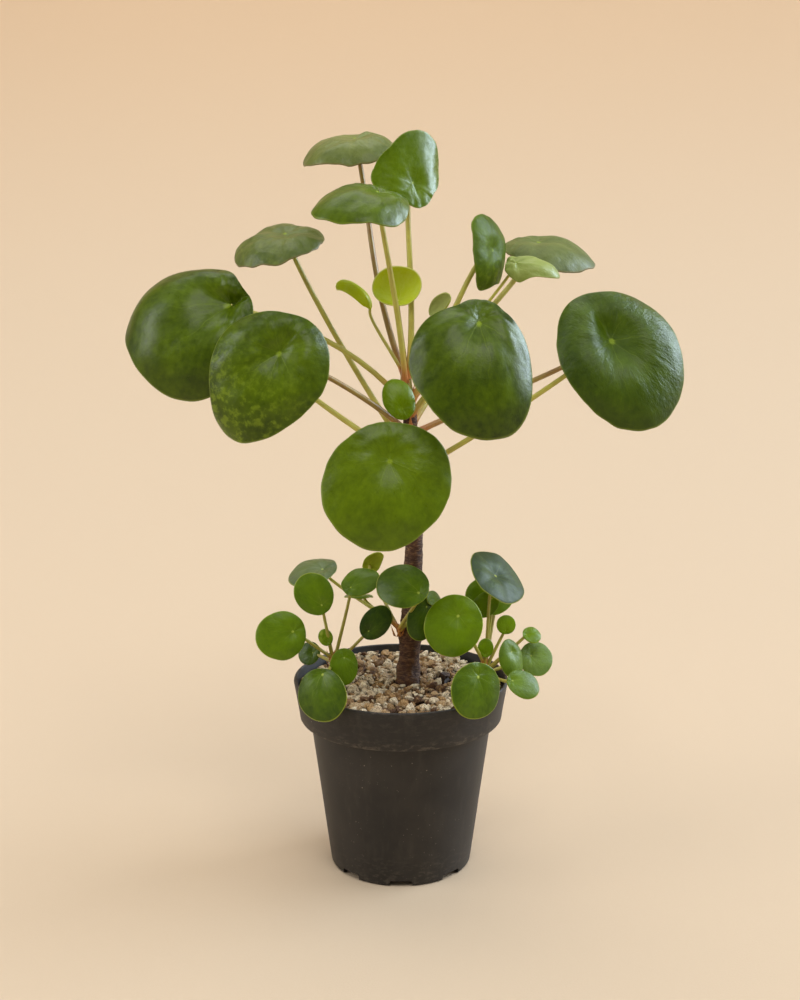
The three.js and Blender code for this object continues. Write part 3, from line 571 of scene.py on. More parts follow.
# The skins of the leaves: name of the material, depth of its relief, and its own colours.
SKINS = {key: finish_material(name, LEAF, values, bump,
                              **({"Specular_IOR_Level": 0.07} if key == "shaded" else GLOSSY))
         for key, name, bump, values in (
    ("deep", "deep_green_leaf", 0.00035, dict(
        Deep=colour(32, 50, 2), Light=colour(114, 142, 3), Gloss=0.33)),
    ("wrinkled", "wrinkled_green_leaf", 0.0005, dict(
        Deep=colour(36, 56, 8), Light=colour(96, 124, 10), Gloss=0.42)),
    # Dusty leaves: a greyed green that is partly dust and partly a painted sheen of light.
    ("dusty", "dusty_sheened_green_leaf", 0.0006, dict(
        Deep=colour(50, 72, 16), Light=colour(126, 138, 70), Gloss=0.36, Veins=0.1,
        Margin=colour(140, 122, 80))),
    ("shaded", "shaded_green_leaf", 0.0003, dict(
        Deep=colour(34, 54, 4), Light=colour(112, 142, 4), Gloss=0.42)),
    ("bright", "glossy_green_leaf", 0.0003, dict(
        Deep=colour(58, 84, 2), Light=colour(116, 144, 8), Gloss=0.28, Veins=0.06)),
    # Young leaves: their own pale yellow-green, made brighter still as a painted glow of light
    # through the leaf.
    ("young", "young_yellow_painted_glow_leaf", 0.0003, dict(
        Deep=colour(186, 204, 14), Light=colour(214, 224, 110), Gloss=0.4, Veins=0.4,
        Vein=colour(230, 230, 120), Margin=colour(236, 236, 170),
        Underside=colour(200, 206, 90))),
    ("pale", "young_pale_leaf", 0.0004, dict(
        Deep=colour(112, 136, 40), Light=colour(172, 184, 112), Gloss=0.4, Veins=0.5,
        Vein=colour(128, 150, 48), Margin=colour(196, 196, 130),
        Underside=colour(170, 180, 80))),
    # Offshoot leaves: the underside colour is lightened as a painted glow of light through the
    # leaf.
    ("offshoot", "offshoot_leaf", 0.0003, dict(
        Deep=colour(42, 66, 14), Light=colour(112, 146, 2), Gloss=0.34, Veins=0.16,
        Vein=colour(188, 206, 84), Margin=colour(184, 196, 70),
        Underside=colour(176, 192, 50))))}
WAXED = {"Coat_Weight": 0.15, "Coat_Roughness": 0.3}
STALK_SKIN = finish_material("leaf_stalk_skin", STALK, {}, 0.0002, **WAXED)
SMALL_STALK_SKIN = finish_material("offshoot_stalk_skin", STALK, {
    "Olive": colour(182, 184, 84), "Foot": colour(200, 134, 70)}, 0.0001, **WAXED)
BARK = finish_material("ringed_bark", WOOD, {}, 0.0005)
STUB_BARK = finish_material("dark_stub_bark", WOOD, {
    "Dark": colour(40, 22, 14), "Ridge": colour(92, 58, 36)}, 0.0006)
PUMICE = finish_material("pumice_and_clay_grain", GRAINS, {}, 0.0011)
SOIL = finish_material("damp_potting_soil", CRUMBS, {}, 0.0008)
PLASTIC = finish_material("charcoal_pot_plastic", CHARCOAL, {}, 0.00008)


# ------------------------------------------------------------------ leaves
def blade_axes(one):
    """Unit directions of a blade: across it, towards its tip and out of its face."""
    y, p, r = (math.radians(one[key]) for key in ("yaw", "pitch", "roll"))
    face = Vector((math.sin(y) * math.cos(p), -math.cos(y) * math.cos(p), math.sin(p)))
    down = Vector((math.sin(y) * math.sin(p), -math.cos(y) * math.sin(p), -math.cos(p)))
    tip = down * math.cos(r) + down.cross(face) * math.sin(r)
    return tip.cross(face), tip, face


def steepening_arc(angle, length, steps=8):
    """How far an arc that steepens towards its end runs out and drops."""
    out = drop = 0.0
    for i in range(steps):
        t = (i + 0.5) * length / steps
        out += math.cos(angle * t ** 1.5) * length / steps
        drop += math.sin(angle * t ** 1.5) * length / steps
    return out, drop


def around_rim(values, angle):
    """Smooth curve through equal steps all the way round."""
    spot = angle / (2 * math.pi) % 1 * len(values)
    step, t = int(spot), spot % 1
    a, b, c, d = (values[(step + k) % len(values)] for k in (-1, 0, 1, 2))
    return b + 0.5 * t * (c - a + t * (2 * a - 5 * b + 4 * c - d + t * (3 * (b - c) + d - a)))


def blade_point(one, share, angle):
    """Middle surface of a round blade: across, along and out of its face."""
    (wide, long), offset = one["size"], one["offset"]
    reach = offset * math.cos(angle) + math.sqrt(1 - (offset * math.sin(angle)) ** 2)
    reach *= 1 + 0.01 * around_rim(one.get("rim", (0,)), angle) * share * share
    u = reach * share * math.sin(angle)
    v = reach * share * math.cos(angle) - offset
    length = math.hypot(u, v)
    around = math.atan2(u, v)
    bend = (math.radians(one["curl"][0]) * math.sin(around) ** 2
            + math.radians(one["curl"][1]) * math.cos(around) ** 2
            + math.radians(RIM_WAVE) * length * math.sin(4 * around + one["phase"]))
    out, drop = steepening_arc(bend, length)
    middle = (wide + long) / 4
    dimple = DIMPLE_DEPTH * middle * math.exp(-(math.hypot(u, v + offset) / DIMPLE_WIDTH) ** 2)
    return Vector((wide / 2 * out * math.sin(around) * (1 + one.get("egg", 0) * v),
                   long / 2 * out * math.cos(around), -middle * drop - dimple))


def surface_relief(one, share, angle):
    """Hills, crinkles, the valley and the sunken navel of a grown blade, in millimetres."""
    middle = sum(one["size"]) / 4
    seed = one["phase"] * 7.3
    x, y = math.sin(angle), math.cos(angle)
    rough = one.get("crumple", 1)
    swell = lumps(x * 1.6, y * 1.6, seed + share * 0.8) * share * 0.035 * middle
    hills = lumps(share * x * 4.2, share * y * 4.2, seed) * 0.014 * middle
    crinkle = lumps(x * 5.5, y * 5.5, seed + share) * share ** 2 * 0.016 * middle
    small = lumps(share * x * 10, share * y * 10, seed) * 0.006 * middle
    # The valley runs from the navel to the rim opposite the tip.
    along = -share * math.cos(angle - 0.2 * math.sin(seed))
    beside = share * math.sin(angle - 0.2 * math.sin(seed))
    start = min(1.0, max(0.0, (along + 0.12) / 0.45))
    fade = 1 - 0.6 * min(1.0, max(0.0, (along - 0.5) / 0.5))
    valley = (one.get("cleft", 0) * math.exp(-(beside / (0.13 + 0.16 * share)) ** 2)
              * start * start * (3 - 2 * start) * fade)
    funnel = one.get("sink", 0) * math.exp(-(share / 0.34) ** 1.8)
    return (swell + hills + small) * rough + crinkle - valley - funnel


def model_disc(name, rings, segments):
    """A flat round sheet: a small fan at the navel, its rim drawn out ring after ring."""
    put_down()
    bpy.ops.mesh.primitive_circle_add(vertices=segments, radius=rings[0], fill_type="TRIFAN")
    disc = just_added(name)
    open_mesh()
    bpy.ops.mesh.select_mode(type="EDGE")
    bpy.ops.mesh.select_all(action="DESELECT")
    bpy.ops.mesh.select_non_manifold()
    for inner, outer in zip(rings, rings[1:]):
        draw_on(outer / inner)
    put_down()
    return disc


LARGE_DISC = model_disc("large_disc", [0.03, 0.07, 0.12, 0.18, 0.25, 0.32, 0.4, 0.48, 0.56, 0.64,
                                       0.72, 0.79, 0.86, 0.92, 0.97, 1.0], 72)
SMALL_DISC = model_disc("small_disc", [0.08, 0.2, 0.35, 0.5, 0.65, 0.8, 0.92, 1.0], 36)


def grow_blade(one, disc, thickness, name):
    """A copy of the flat disc, bent to one leaf's surface and given its thickness."""
    across, tip, face = blade_axes(one)
    turn = Matrix((across, tip, face)).transposed()
    centre = blade_point(one, 0, 0)
    navel = Vector(one["navel"])
    piece = copy_of(disc, name)
    seed = one["phase"] * 3.1
    chart = []
    for vertex in piece.data.vertices:
        share = min(1.0, math.hypot(vertex.co.x, vertex.co.y))
        angle = math.atan2(vertex.co.x, vertex.co.y)
        x, y = math.sin(angle), math.cos(angle)
        uneven = 1 + 0.022 * share ** 6 * lumps(x * 7, y * 7, seed)
        point = blade_point(one, share * uneven, angle) - centre
        point.z += surface_relief(one, share, angle)
        vertex.co = (navel + turn @ point) * MM
        chart.append((share * x, share * y, share))
    piece.data.update()
    set_attribute(piece, "blade", chart, "FLOAT_VECTOR")
    for label, usual in (("tone", 0.5), ("wrinkle", 0.3), ("dust", 0.0), ("matt", 0.0)):
        set_attribute(piece, label, one.get(label, usual))
    set_attribute(piece, "yellow", [one.get("yellow", 0) * max(0.0, y) for _, y, _ in chart])
    middles = [(v.co.copy(), v.normal.copy()) for v in piece.data.vertices]
    modify(piece, "SOLIDIFY", thickness=thickness * MM, offset=0, use_even_offset=False)
    under = []
    for i, vertex in enumerate(piece.data.vertices):
        middle, normal = middles[i % len(middles)]
        under.append(0.0 if (vertex.co - middle).dot(normal) > 0 else 1.0)
    set_attribute(piece, "under", under)
    modify(piece, "SUBSURF", levels=1, render_levels=1)
    return piece


# ------------------------------------------------------------------ stalks and stems
def draw_tube(name, points, handles, radii, sides, steps):
    """A closed tube round a curve, its radius given at each point and its sides in fours."""
    put_down()
    bpy.ops.curve.primitive_bezier_curve_add(location=(0, 0, 0))
    piece = just_added(name)
    spline = piece.data.splines[0]
    spline.bezier_points.add(len(points) - 2)
    for i, knot in enumerate(spline.bezier_points):
        knot.co = Vector(points[i]) * MM
        knot.radius = radii[i]
        if handles:
            knot.handle_left_type = knot.handle_right_type = "FREE"
            knot.handle_left, knot.handle_right = (Vector(h) * MM for h in handles[i])
        else:
            knot.handle_left_type = knot.handle_right_type = "AUTO"
    piece.data.dimensions = "3D"
    piece.data.bevel_depth = MM
    piece.data.bevel_resolution = sides // 4 - 1
    piece.data.resolution_u = steps
    piece.data.use_fill_caps = True
    pick_up(piece)
    bpy.ops.object.convert(target="MESH")
    return just_added(name)


def bezier(a, b, c, d, t):
    """The point at a share of the way along a curve with two handles."""
    return a * (1 - t) ** 3 + b * 3 * t * (1 - t) ** 2 + c * 3 * t * t * (1 - t) + d * t ** 3


def draw_stalk(one, root, width, name, bronze, steps=14):
    """The stalk of one leaf, from its root into the back of its blade."""
    face = blade_axes(one)[2]
    end = Vector(one["navel"]) + face * (surface_relief(one, 0, 0) - 0.3)
    way = end - root
    # A handle moves the middle of the curve by less than itself, so lean and bow are drawn larger.
    first = root + way * 0.4 + Vector((one.get("lean", 0), 0, one.get("bow", 0))) * 1.6
    second = end - face * (one.get("lead", 0.12) * way.length)
    piece = draw_tube(name, [root, end], [(root * 2 - first, first), (second, end * 2 - second)],
                      [width * 1.15, width * 0.85], 8, steps)
    count = 24
    line = [bezier(root, first, second, end, i / count) * MM for i in range(count + 1)]
    along = []
    for vertex in piece.data.vertices:
        nearest = min(range(count + 1), key=lambda i: (line[i] - vertex.co).length_squared)
        t = nearest / count
        along.append(t)
        # A swollen foot and a small collar under the blade.
        swell = 0.35 * max(0.0, 1 - t / 0.08) + 0.45 * max(0.0, (t - 0.955) / 0.045) ** 2
        vertex.co += (vertex.co - line[nearest]) * swell * 0.6
    set_attribute(piece, "along", along)
    set_attribute(piece, "bronze", bronze)
    return piece


BRONZE = {"olive": 0.1, "bronze": 0.85, "orange": 0.7}


def dress_main_leaves():
    """The twenty blades of the main plant, each in place of its own node."""
    for i, one in enumerate(LEAVES):
        one["phase"] = i * PHASE_STEP
        piece = grow_blade(one, LARGE_DISC if max(one["size"]) > LARGE_LEAF else SMALL_DISC,
                           BLADE_THICKNESS, "blade_of_" + one["name"])
        young = "young" in one["name"] or "pale" in one["name"]
        finish_piece(piece, SKINS[one.get("skin", "deep")], "young_leaf" if young else "leaf",
                     one["name"])


def dress_crown():
    """Every main stalk, rooted around the growing tip."""
    stalks = []
    for one in LEAVES:
        height, side = one["root"]
        point, radius = stem_at(height)
        stalks.append(draw_stalk(one, point + outward(side) * radius * 0.5,
                                 STALK_RADIUS * one.get("width", 1), "stalk",
                                 BRONZE[one.get("stalk", "olive")]))
    finish_piece(join(stalks, "main_leaf_stalks"), STALK_SKIN, "stalk", "crown_stalks")


SCAR_STEP = 5.6  # from one ring of leaf scars to the next
SCAR_WIDTH = 0.55
KNOT_HEIGHT = 133
TRUNK_FOOT, TRUNK_TOP, TIP_TOP = 62, 212, 283
COLLAR = 98  # the height at which the trunk widens into the grit, over the length of the flare
FLARE = 20


def rough_stem(name, low, high, sides, step=0.9):
    """The bowed stem between two heights, with leaf scars, knots and a scaly foot."""
    count = int((high - low) / step) + 1
    heights = [low + (high - low) * i / (count - 1) for i in range(count)]
    places = [stem_at(z) for z in heights]
    piece = draw_tube(name, [p for p, _ in places], None, [r for _, r in places], sides, 1)
    ring = []
    for vertex in piece.data.vertices:
        z = vertex.co.z / MM
        middle, radius = stem_at(min(max(z, low), high))
        away = vertex.co / MM - middle
        away.z = 0
        if away.length < 0.5 * radius:
            ring.append(0.0)
            continue
        around = math.atan2(away.y, away.x)
        x, y = math.cos(around), math.sin(around)
        tilt = 0.9 * math.sin(around + z * 0.11)
        beat = (z + tilt) / SCAR_STEP
        scar = math.exp(-((beat - round(beat)) * SCAR_STEP / SCAR_WIDTH) ** 2)
        scar *= 0.5 + 0.5 * lumps(x * 2, y * 2, round(beat) * 3.7)
        foot = max(0.0, 1 - (z - COLLAR) / 30) if z > COLLAR else 1.0
        lump = lumps(x * 1.3, y * 1.3, z / 9)
        scaly = lumps(x * 4, y * 4, z / 2.2)
        ribs = lumps(x * 3.2, y * 3.2, z / 26)
        knot = math.exp(-((z - KNOT_HEIGHT) / 5) ** 2)
        flare = ((1.1 + 1.5 * ribs) * max(0.0, 1 - (z - COLLAR) / FLARE) ** 1.5
                 if COLLAR < z < COLLAR + FLARE else 0.0)
        push = (0.5 * scar + (0.3 + 1.4 * foot) * lump + (0.2 + 0.4 * foot) * scaly
                + (0.2 + 0.9 * foot) * ribs + 0.7 * knot + flare)
        vertex.co += away.normalized() * push * MM * (radius / 5)
        ring.append(min(1.0, max(0.0, scar + foot * (0.5 + ribs * 1.6 + scaly))))
    set_attribute(piece, "ring", ring)
    return piece


def model_scale():
    """A pointed papery scale, as sits at the foot of each stalk: a cone pressed flat."""
    put_down()
    bpy.ops.mesh.primitive_cone_add(vertices=8, radius1=1, radius2=0.12, depth=2)
    scale = just_added("papery_scale")
    open_mesh("SELECT")
    bpy.ops.transform.translate(value=(0, 0, 1))
    bpy.ops.transform.resize(value=(1, 0.28, 1), center_override=(0, 0, 0))
    bpy.ops.mesh.subdivide(number_cuts=1)
    put_down()
    for vertex in scale.data.vertices:
        vertex.co.y += 0.22 * vertex.co.z ** 2 / 4 - 0.25 * vertex.co.x ** 2
    return scale


SCALE = model_scale()


def set_scales(name, spots, material, slot):
    """Papery scales round a stem: where each stands, which way it leans and its size."""
    scales = []
    for i, (foot, side, lean, width, length) in enumerate(spots):
        piece = copy_of(SCALE, f"{name}_{i}")
        turn = (Matrix.Rotation(math.radians(side), 4, "Z")
                @ Matrix.Rotation(math.radians(lean), 4, "X"))
        size = Matrix.Diagonal((width * MM / 2, width * MM / 2, length * MM / 2, 1))
        piece.data.transform(Matrix.Translation(Vector(foot) * MM) @ turn @ size)
        set_attribute(piece, "along", 0.0)
        set_attribute(piece, "bronze", 0.4)
        scales.append(piece)
    finish_piece(join(scales, name), material, slot)


def dress_stub():
    """The dark cut stump of an old shoot, just above the grit behind the trunk."""
    middle = Vector((24.3, 9, 102))
    piece = draw_tube("old_stub", [(24, 9, 96), middle, (25, 8.6, 106.5)], None,
                      [3.6, 3.7, 2.9], 12, 6)
    ring = []
    for vertex in piece.data.vertices:
        lump = noise.noise(vertex.co * 420)
        away = vertex.co - middle * MM
        vertex.co += Vector((away.x, away.y, 0)) * lump * 0.9
        ring.append(max(0.0, lump))
    set_attribute(piece, "ring", ring)
    finish_piece(piece, STUB_BARK, "bark", degrees=50)


SPIRAL = 137.5  # degrees from one leaf to the next round a stem


def dress_stems():
    """The bark of the trunk, the growing tip with its papery scales, and the stub."""
    finish_piece(rough_stem("bark_trunk", TRUNK_FOOT, TRUNK_TOP, 28), BARK, "bark", "trunk")
    finish_piece(rough_stem("growing_tip", TRUNK_TOP - 0.5, TIP_TOP, 20), BARK, "bark")
    dress_stub()
    chance = random.Random(5)
    spots = []
    for i in range(12):
        z = 250 + i * 2.9
        middle, radius = stem_at(z)
        side = i * SPIRAL
        spots.append((middle + outward(side) * radius * 0.8, side, chance.uniform(12, 30),
                      chance.uniform(2, 3.2), chance.uniform(4, 7)))
    set_scales("crown_scales", spots, STALK_SKIN, "stalk")


def dress_offshoot(name, top, leaves):
    """The leaves of one offshoot, on stalks that leave its top one below the other."""
    blades, stalks = [], []
    for i, one in enumerate(leaves):
        one["phase"] = i * SMALL_PHASE_STEP
        blades.append(grow_blade(one, SMALL_DISC, SMALL_BLADE_THICKNESS, f"{name}_{i}"))
        root = Vector(top) - Vector((0, 0, ROOT_STEP * i))
        stalks.append(draw_stalk(one, root, SMALL_STALK_RADIUS, "stalk", 0.15 + 0.08 * (i % 4), 8))
    finish_piece(join(blades, name + "_leaves"), SKINS["offshoot"], "offshoot_leaf", name)
    finish_piece(join(stalks, name + "_stalks"), SMALL_STALK_SKIN, "offshoot_leaf")


def dress_offshoots():
    """The three leafy offshoots; two come up through the grit on stems of their own."""
    for name, (top, leaves) in OFFSHOOTS.items():
        dress_offshoot(name, top, leaves)
    chance = random.Random(9)
    for name, (x, y, z) in (("left_offshoot", LEFT_TOP), ("right_offshoot", RIGHT_TOP)):
        stem = draw_tube(name + "_stem", [(x, y, 89), (x, y, (89 + z) / 2), (x, y, z + 1)], None,
                         [2.4, 2.2, 1.8], 12, 8)
        set_attribute(stem, "ring", [0.5 + 0.5 * math.sin(v.co.z / MM * 2.4)
                                     for v in stem.data.vertices])
        finish_piece(stem, BARK, "offshoot_leaf")
        spots = []
        for i in range(9):
            side = i * SPIRAL
            spots.append((Vector((x, y, z - 7 + i * 0.9)) + outward(side) * 1.7, side,
                          chance.uniform(10, 34), chance.uniform(1.8, 2.8),
                          chance.uniform(4, 6.5)))
        set_scales(name + "_scales", spots, SMALL_STALK_SKIN, "offshoot_leaf")
    foot = Vector(SIDE_TOP) - Vector((0, 0, 5))
    spots = [(foot + outward(math.degrees(a)) * 2.2, math.degrees(a), 25, 2.4, 5.5)
             for a in (-1.9, -0.9, 0.1, 1.0)]
    set_scales("side_shoot_scales", spots, SMALL_STALK_SKIN, "offshoot_leaf")


# ------------------------------------------------------------------ pot, soil and grit
def pot_inside(z):
    """Radius of the pot's inside above its ledge."""
    low = LIP_LOW_RADIUS - WALL
    return low + (RIM_RADIUS - 2 - low) * (z - LEDGE - WALL) / (POT_HEIGHT - 0.8 - LEDGE - WALL)


def turn_pot():
    """The pot drawn up from its foot ring by ring, over the rim and down inside to the floor."""
    inside = FLOOR_UNDERSIDE + WALL
    profile = [
        (FOOT_RADIUS - 3.2, 0.3), (FOOT_RADIUS - 2.8, 0), (FOOT_RADIUS - 1.2, 0),
        (FOOT_RADIUS - 0.5, 0.25), (FOOT_RADIUS - 0.05, 0.9), (FOOT_RADIUS + 0.15, 1.8),
        (42.4, 21), (45.1, 42), (47.9, 63), (50.3, 81), (SHOULDER_RADIUS - 0.1, LEDGE - 1.1),
        (SHOULDER_RADIUS + 0.5, LEDGE - 0.6), (LIP_LOW_RADIUS - 1.4, LEDGE - 0.25),
        (LIP_LOW_RADIUS - 0.45, LEDGE + 0.1), (LIP_LOW_RADIUS, LEDGE + 0.9),
        (57.2, 91), (58.2, 97), (59.2, 103), (RIM_RADIUS - 0.15, POT_HEIGHT - 1.2),
        (RIM_RADIUS - 0.35, POT_HEIGHT - 0.35), (RIM_RADIUS - 0.8, POT_HEIGHT),
        (RIM_RADIUS - 1.4, POT_HEIGHT), (RIM_RADIUS - 1.85, POT_HEIGHT - 0.4),
        (RIM_RADIUS - 2, POT_HEIGHT - 1.2), (57, 100), (56, 93),
        (LIP_LOW_RADIUS - WALL, LEDGE + WALL + 0.4), (LIP_LOW_RADIUS - WALL - 0.6, LEDGE + WALL),
        (SHOULDER_RADIUS - WALL, LEDGE + WALL - 0.6), (43.6, 42), (37.8, inside + 1.0),
        (36.6, inside), (4, inside),
    ]
    put_down()
    bpy.ops.mesh.primitive_circle_add(vertices=96, radius=profile[0][0] * MM)
    pot = just_added("nursery_pot")
    open_mesh()
    bpy.ops.transform.translate(value=(0, 0, profile[0][1] * MM))
    bpy.ops.mesh.select_mode(type="EDGE")
    bpy.ops.mesh.select_all(action="SELECT")
    for (radius, z), (next_radius, next_z) in zip(profile, profile[1:]):
        draw_on(next_radius / radius, (0, 0, (next_z - z) * MM))
    bpy.ops.mesh.edge_face_add()
    # The underside: from the foot ring up to the raised floor.
    bpy.ops.object.mode_set(mode="OBJECT")
    for edge in pot.data.edges:
        ends = [pot.data.vertices[i].co for i in edge.vertices]
        edge.select = all(abs(c.z - profile[0][1] * MM) < 1e-6 for c in ends)
    for face in pot.data.polygons:
        face.select = False
    open_mesh()
    for radius, next_radius, lift in ((36.5, 36.1, 2.9), (36.1, 4, 0.4)):
        draw_on(next_radius / radius, (0, 0, lift * MM))
    bpy.ops.mesh.edge_face_add()
    face_outwards()
    return pot


NOTCHES = 8


def notch_pot(pot):
    """Notches in the foot and a drain hole in the floor between each two, cut through."""
    cutters = []
    for i in range(NOTCHES):
        turn = i * 2 * math.pi / NOTCHES
        put_down()
        bpy.ops.mesh.primitive_cube_add(size=1)
        block = just_added("notch")
        open_mesh()
        bpy.ops.transform.resize(value=(9 * MM, 12.5 * MM, 5.6 * MM))
        bpy.ops.mesh.bevel(offset=1.1 * MM, segments=3, affect="EDGES")
        put_down()
        block.data.transform(Matrix.Rotation(turn, 4, "Z")
                             @ Matrix.Translation(((FOOT_RADIUS - 1) * MM, 0, 0.5 * MM)))
        bpy.ops.mesh.primitive_cylinder_add(vertices=20, radius=3 * MM, depth=12 * MM)
        hole = just_added("drain")
        hole.data.transform(Matrix.Rotation(turn + math.pi / NOTCHES, 4, "Z")
                            @ Matrix.Translation((24 * MM, 0, FLOOR_UNDERSIDE * MM)))
        cutters += [block, hole]
    cutter = join(cutters, "cutters")
    modify(pot, "BOOLEAN", operation="DIFFERENCE", object=cutter, solver="EXACT")
    bpy.data.objects.remove(cutter)


def dress_pot():
    """The pot, dusty where its edges are handled, with a painted highlight along its ledge and rim.
    """
    pot = turn_pot()
    notch_pot(pot)
    edge = []
    for vertex in pot.data.vertices:
        z = vertex.co.z / MM
        radius = math.hypot(vertex.co.x, vertex.co.y) / MM
        # Ledge and rim bands: dust with a painted highlight line; foot and lip bands: dust.
        worn_and_sheened = max(math.exp(-((z - LEDGE - 0.5) / 0.7) ** 2) if radius > 52 else 0.0,
                   0.5 * math.exp(-((z - POT_HEIGHT) / 1.0) ** 2),
                   0.4 * math.exp(-((z - 2) / 3.0) ** 2),
                   0.12 if radius > 55 and z < POT_HEIGHT - 3 else 0.0)
        edge.append(worn_and_sheened)
    set_attribute(pot, "edge", edge)
    finish_piece(pot, PLASTIC, "pot_plastic", "pot", degrees=32)


def model_grains():
    """Seven lumpy, chipped grains: a ball of few faces pushed in and out and cut flat in places."""
    chance = random.Random(3)
    grains = []
    for i in range(7):
        put_down()
        bpy.ops.mesh.primitive_uv_sphere_add(segments=8, ring_count=6, radius=1)
        one = just_added(f"grain_{i}")
        chips = [Vector([chance.gauss(0, 1) for _ in range(3)]).normalized() for _ in range(5)]
        for vertex in one.data.vertices:
            lump = noise.noise(vertex.co * 1.9 + Vector((i * 9.1, 0, 0)))
            vertex.co *= 1.08 + 0.62 * lump
            for chip in chips:
                over = vertex.co.dot(chip) - 0.7
                if over > 0:
                    vertex.co -= chip * over * 0.92
            vertex.co.x *= 1.0 + 0.14 * (i % 3)
            vertex.co.z *= 0.84
            vertex.co += Vector([chance.uniform(-0.09, 0.09) for _ in range(3)])
        grains.append(one)
    return grains


BED_UNDERSIDE, BED_DEPTH = 95.3, 4.9
CELL = 6.2  # side of the squares in which near grains are looked up, over twice the largest
STEMS_IN_BED = [(3.4, 4, 7.4), (-38, 4, 2.6), (47, 0, 2.6), (24, 9, 4.2)]


def scatter(chance, sizes, tries, spacing, low, high, cells):
    """Grains dropped on the bed where there is room, clear of the wall and the stems."""
    for _ in range(tries):
        radius = chance.uniform(*sizes)
        reach = pot_inside(100) - radius * 1.05 - 0.3
        angle, out = chance.uniform(0, 2 * math.pi), reach * math.sqrt(chance.random())
        x, y = out * math.cos(angle), out * math.sin(angle)
        z = GRIT_LEVEL + chance.uniform(low, high) + 1.6 * (y / 56) ** 2 * (1 if y > 0 else 0.2)
        if any(math.hypot(x - sx, y - sy) < sr + radius * 0.7 for sx, sy, sr in STEMS_IN_BED):
            continue
        column, row = round(x / CELL), round(y / CELL)
        near = [other for i in (-1, 0, 1) for j in (-1, 0, 1)
                for other in cells.get((column + i, row + j), ())]
        if any((x - px) ** 2 + (y - py) ** 2 + ((z - pz) * 1.2) ** 2
               < (spacing * (radius + pr)) ** 2 for px, py, pz, pr in near):
            continue
        cells.setdefault((column, row), []).append((x, y, z, radius))


def dress_grit():
    """The bed of the dressing and its loose grains."""
    chance = random.Random(11)
    cells = {}
    scatter(chance, (2.3, 3.1), 900, 0.98, -0.8, 2.0, cells)
    scatter(chance, (1.4, 2.3), 5000, 0.86, -1.8, 2.0, cells)
    scatter(chance, (0.8, 1.5), 8000, 0.84, -2.0, 1.6, cells)
    placed = [one for cell in sorted(cells) for one in cells[cell]]
    shapes = model_grains()
    pieces = []
    for x, y, z, radius in placed:
        one = copy_of(chance.choice(shapes), "grain")
        turn = Matrix.Rotation(chance.uniform(0, 6.28), 4, "Z") @ Matrix.Rotation(
            chance.gauss(0, 0.8), 4, "X")
        size = Matrix.Diagonal([radius * MM * chance.uniform(*span) for span in
                                ((0.95, 1.2), (0.85, 1.1), (0.85, 1.05))] + [1])
        one.data.transform(Matrix.Translation((x * MM, y * MM, z * MM)) @ turn @ size)
        # Browner and crumblier in front of the trunk, creamier on the left.
        browner = (0.5 * lumps(x / 15, y / 15, 4.2)
                   + 0.3 * math.exp(-((x - 4) / 16) ** 2 - ((y + 26) / 16) ** 2)
                   - (0.15 if radius > 2.4 else 0))
        set_attribute(one, "shade", min(1.0, max(0.0, 0.95 * chance.random() ** 1.1 + browner)))
        # deep: how much painted shade a point gets, by how far it lies below the grit level.
        set_attribute(one, "deep", [min(1.0, max(0.0, (GRIT_LEVEL + 1.6 - v.co.z / MM) / 3.6))
                                    for v in one.data.vertices])
        pieces.append(one)
    for shape in shapes:
        bpy.data.objects.remove(shape)
    finish_piece(join(pieces, "pumice_grains"), PUMICE, "pumice", "pumice_grit", degrees=34)

    put_down()
    bpy.ops.mesh.primitive_circle_add(vertices=64, radius=(pot_inside(BED_UNDERSIDE) - 0.8) * MM,
                                      fill_type="NGON", location=(0, 0, BED_UNDERSIDE * MM))
    bed = just_added("grit_bed")
    open_mesh()
    bpy.ops.mesh.extrude_region_move(TRANSFORM_OT_translate={"value": (0, 0, BED_DEPTH * MM)})
    bpy.ops.mesh.inset(thickness=1.2 * MM)
    face_outwards()
    # The bed under the grains is painted nearly all in the gap's painted shade.
    set_attribute(bed, "shade", 0.9)
    set_attribute(bed, "deep", 1.0)
    finish_piece(bed, PUMICE, "pumice", degrees=30)


def dress_soil():
    """The soil lies hidden under the grit, so its CAD form is kept and only gets its finish."""
    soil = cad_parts["potting_soil"]
    for held in soil.material_slots:
        held.link = "OBJECT"
        held.material = SOIL


# ------------------------------------------------------------------ studio
def stage_material():
    """The paper sweep: pale peach, deeper high up behind, with painted shade on the side of the
    window.
    """
    material, tree, shader = new_material("peach_paper", Roughness=0.9, Specular_IOR_Level=0.15)
    where = place_in(tree)
    side, _, up = parts_of(where)
    paper = grain(where, 900, 3, 0.6)
    body = blend(up.rise(0.0, 0.9), (0.70, 0.57, 0.42, 1), (0.665, 0.465, 0.285, 1))
    # Painted shade: the sweep darkens towards the window's side (+x) to even out the window light.
    body = blend(side.rise(-0.9, 1.0, 0, 0.12), body, (0, 0, 0, 1))
    body = blend(paper * 0.06, body, (1, 1, 1, 1))
    relief = node(tree, "ShaderNodeBump", {"Height": paper, "Distance": 0.0002, "Strength": 0.4})
    tree.links.new(body.socket, shader.inputs["Base Color"])
    tree.links.new(relief.outputs[0], shader.inputs["Normal"])
    return material


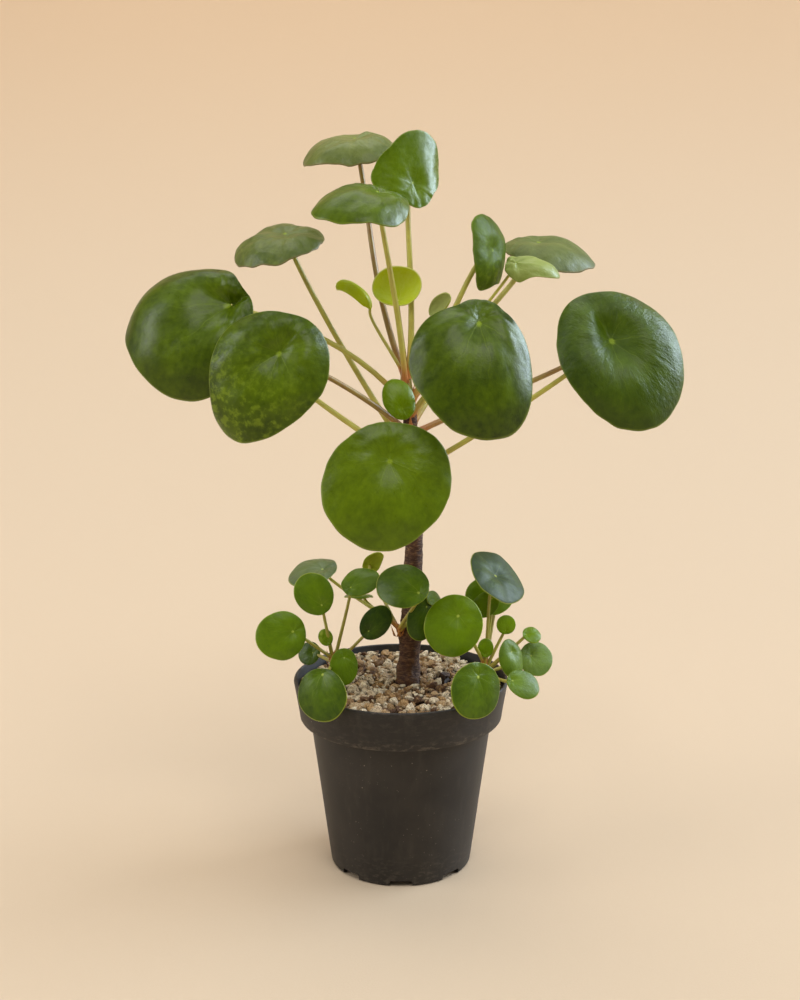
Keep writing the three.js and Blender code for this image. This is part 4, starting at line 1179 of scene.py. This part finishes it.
# Each soft light: name, place, width, height, watts, tint, and whether only its shine shows.
LIGHTS = [
    ("window_light", (2.2, 0.4, 1.5), 2.2, 2.2, 50, (0.88, 0.94, 1.0), False),
    ("window_shine", (2.1, 0.6, 1.3), 0.9, 1.5, 95, (0.68, 0.84, 1.0), True),
    ("left_shine", (-2.0, -0.2, 1.4), 0.6, 1.6, 16, (0.9, 0.95, 1.0), True),
    ("key_light", (0.4, -1.4, 2.5), 1.6, 1.4, 33, (1.0, 0.97, 0.92), False),
    ("left_fill", (-2.4, -0.7, 1.2), 1.6, 1.9, 26, (1.0, 0.95, 0.88), False),
    ("top_light", (-0.2, 0.9, 2.4), 2.0, 1.4, 22, (1.0, 0.98, 0.95), False),
]
MIDDLE_OF_PLANT = Vector((0, 0, 0.22))
CAMERA_PLACE = (-0.0005, -0.800, 0.385)
CAMERA_DOWN = 12.4  # degrees that the camera looks down


def build_studio():
    """A floor that sweeps up into the backdrop, soft lights and the camera."""
    put_down()
    bpy.ops.mesh.primitive_plane_add(size=1, location=(0, 0, -0.0002))
    sweep = just_added("paper_sweep")
    open_mesh()
    bpy.ops.transform.resize(value=(7, 3.2, 1))
    bpy.ops.transform.translate(value=(0, -1.3, 0))
    bpy.ops.mesh.select_mode(type="EDGE")
    bpy.ops.mesh.select_all(action="DESELECT")
    put_down()
    for edge in sweep.data.edges:
        edge.select = all(sweep.data.vertices[i].co.y > 0.2 for i in edge.vertices)
    pick_up(sweep)
    open_mesh()
    steps, radius = 30, 1.7
    reach = radius * math.pi / 2 / steps
    for i in range(steps):
        turn = math.pi / 2 * (i + 0.5) / steps
        draw_on(move=(0, reach * math.cos(turn), reach * math.sin(turn)))
    draw_on(move=(0, 0, 1.6))
    smooth(sweep)
    bpy.ops.object.transform_apply(location=True, rotation=True, scale=True)
    sweep.data.materials.append(stage_material())

    for name, spot, wide, high, watts, tint, shine_only in LIGHTS:
        put_down()
        bpy.ops.object.light_add(type="AREA", location=spot)
        lamp = bpy.context.active_object
        lamp.name = name
        lamp.data.shape = "RECTANGLE"
        lamp.data.size, lamp.data.size_y = wide, high
        lamp.data.energy, lamp.data.color = watts, tint
        lamp.visible_camera = False
        lamp.visible_diffuse = not shine_only
        lamp.rotation_euler = (MIDDLE_OF_PLANT - Vector(spot)).to_track_quat("-Z", "Y").to_euler()

    world = bpy.data.worlds.new("warm_room")
    world.use_nodes = True
    ground = next(n for n in world.node_tree.nodes if n.type == "BACKGROUND")
    ground.inputs[0].default_value = (1.0, 0.93, 0.84, 1)
    ground.inputs[1].default_value = 0.22
    bpy.context.scene.world = world
    bpy.context.scene.view_settings.view_transform = "Standard"

    camera = bpy.data.cameras.new("camera")
    camera.lens, camera.sensor_width = 54, 36
    seen_by = bpy.data.objects.new("camera", camera)
    seen_by.location = CAMERA_PLACE
    seen_by.rotation_euler = (math.radians(90 - CAMERA_DOWN), 0, 0)
    bpy.context.scene.collection.objects.link(seen_by)
    bpy.context.scene.camera = seen_by


# ------------------------------------------------------------------ assembly
build_studio()
dress_pot()
dress_soil()
dress_grit()
dress_stems()
dress_main_leaves()
dress_crown()
dress_offshoots()
for spare in (LARGE_DISC, SMALL_DISC, SCALE):
    bpy.data.objects.remove(spare)
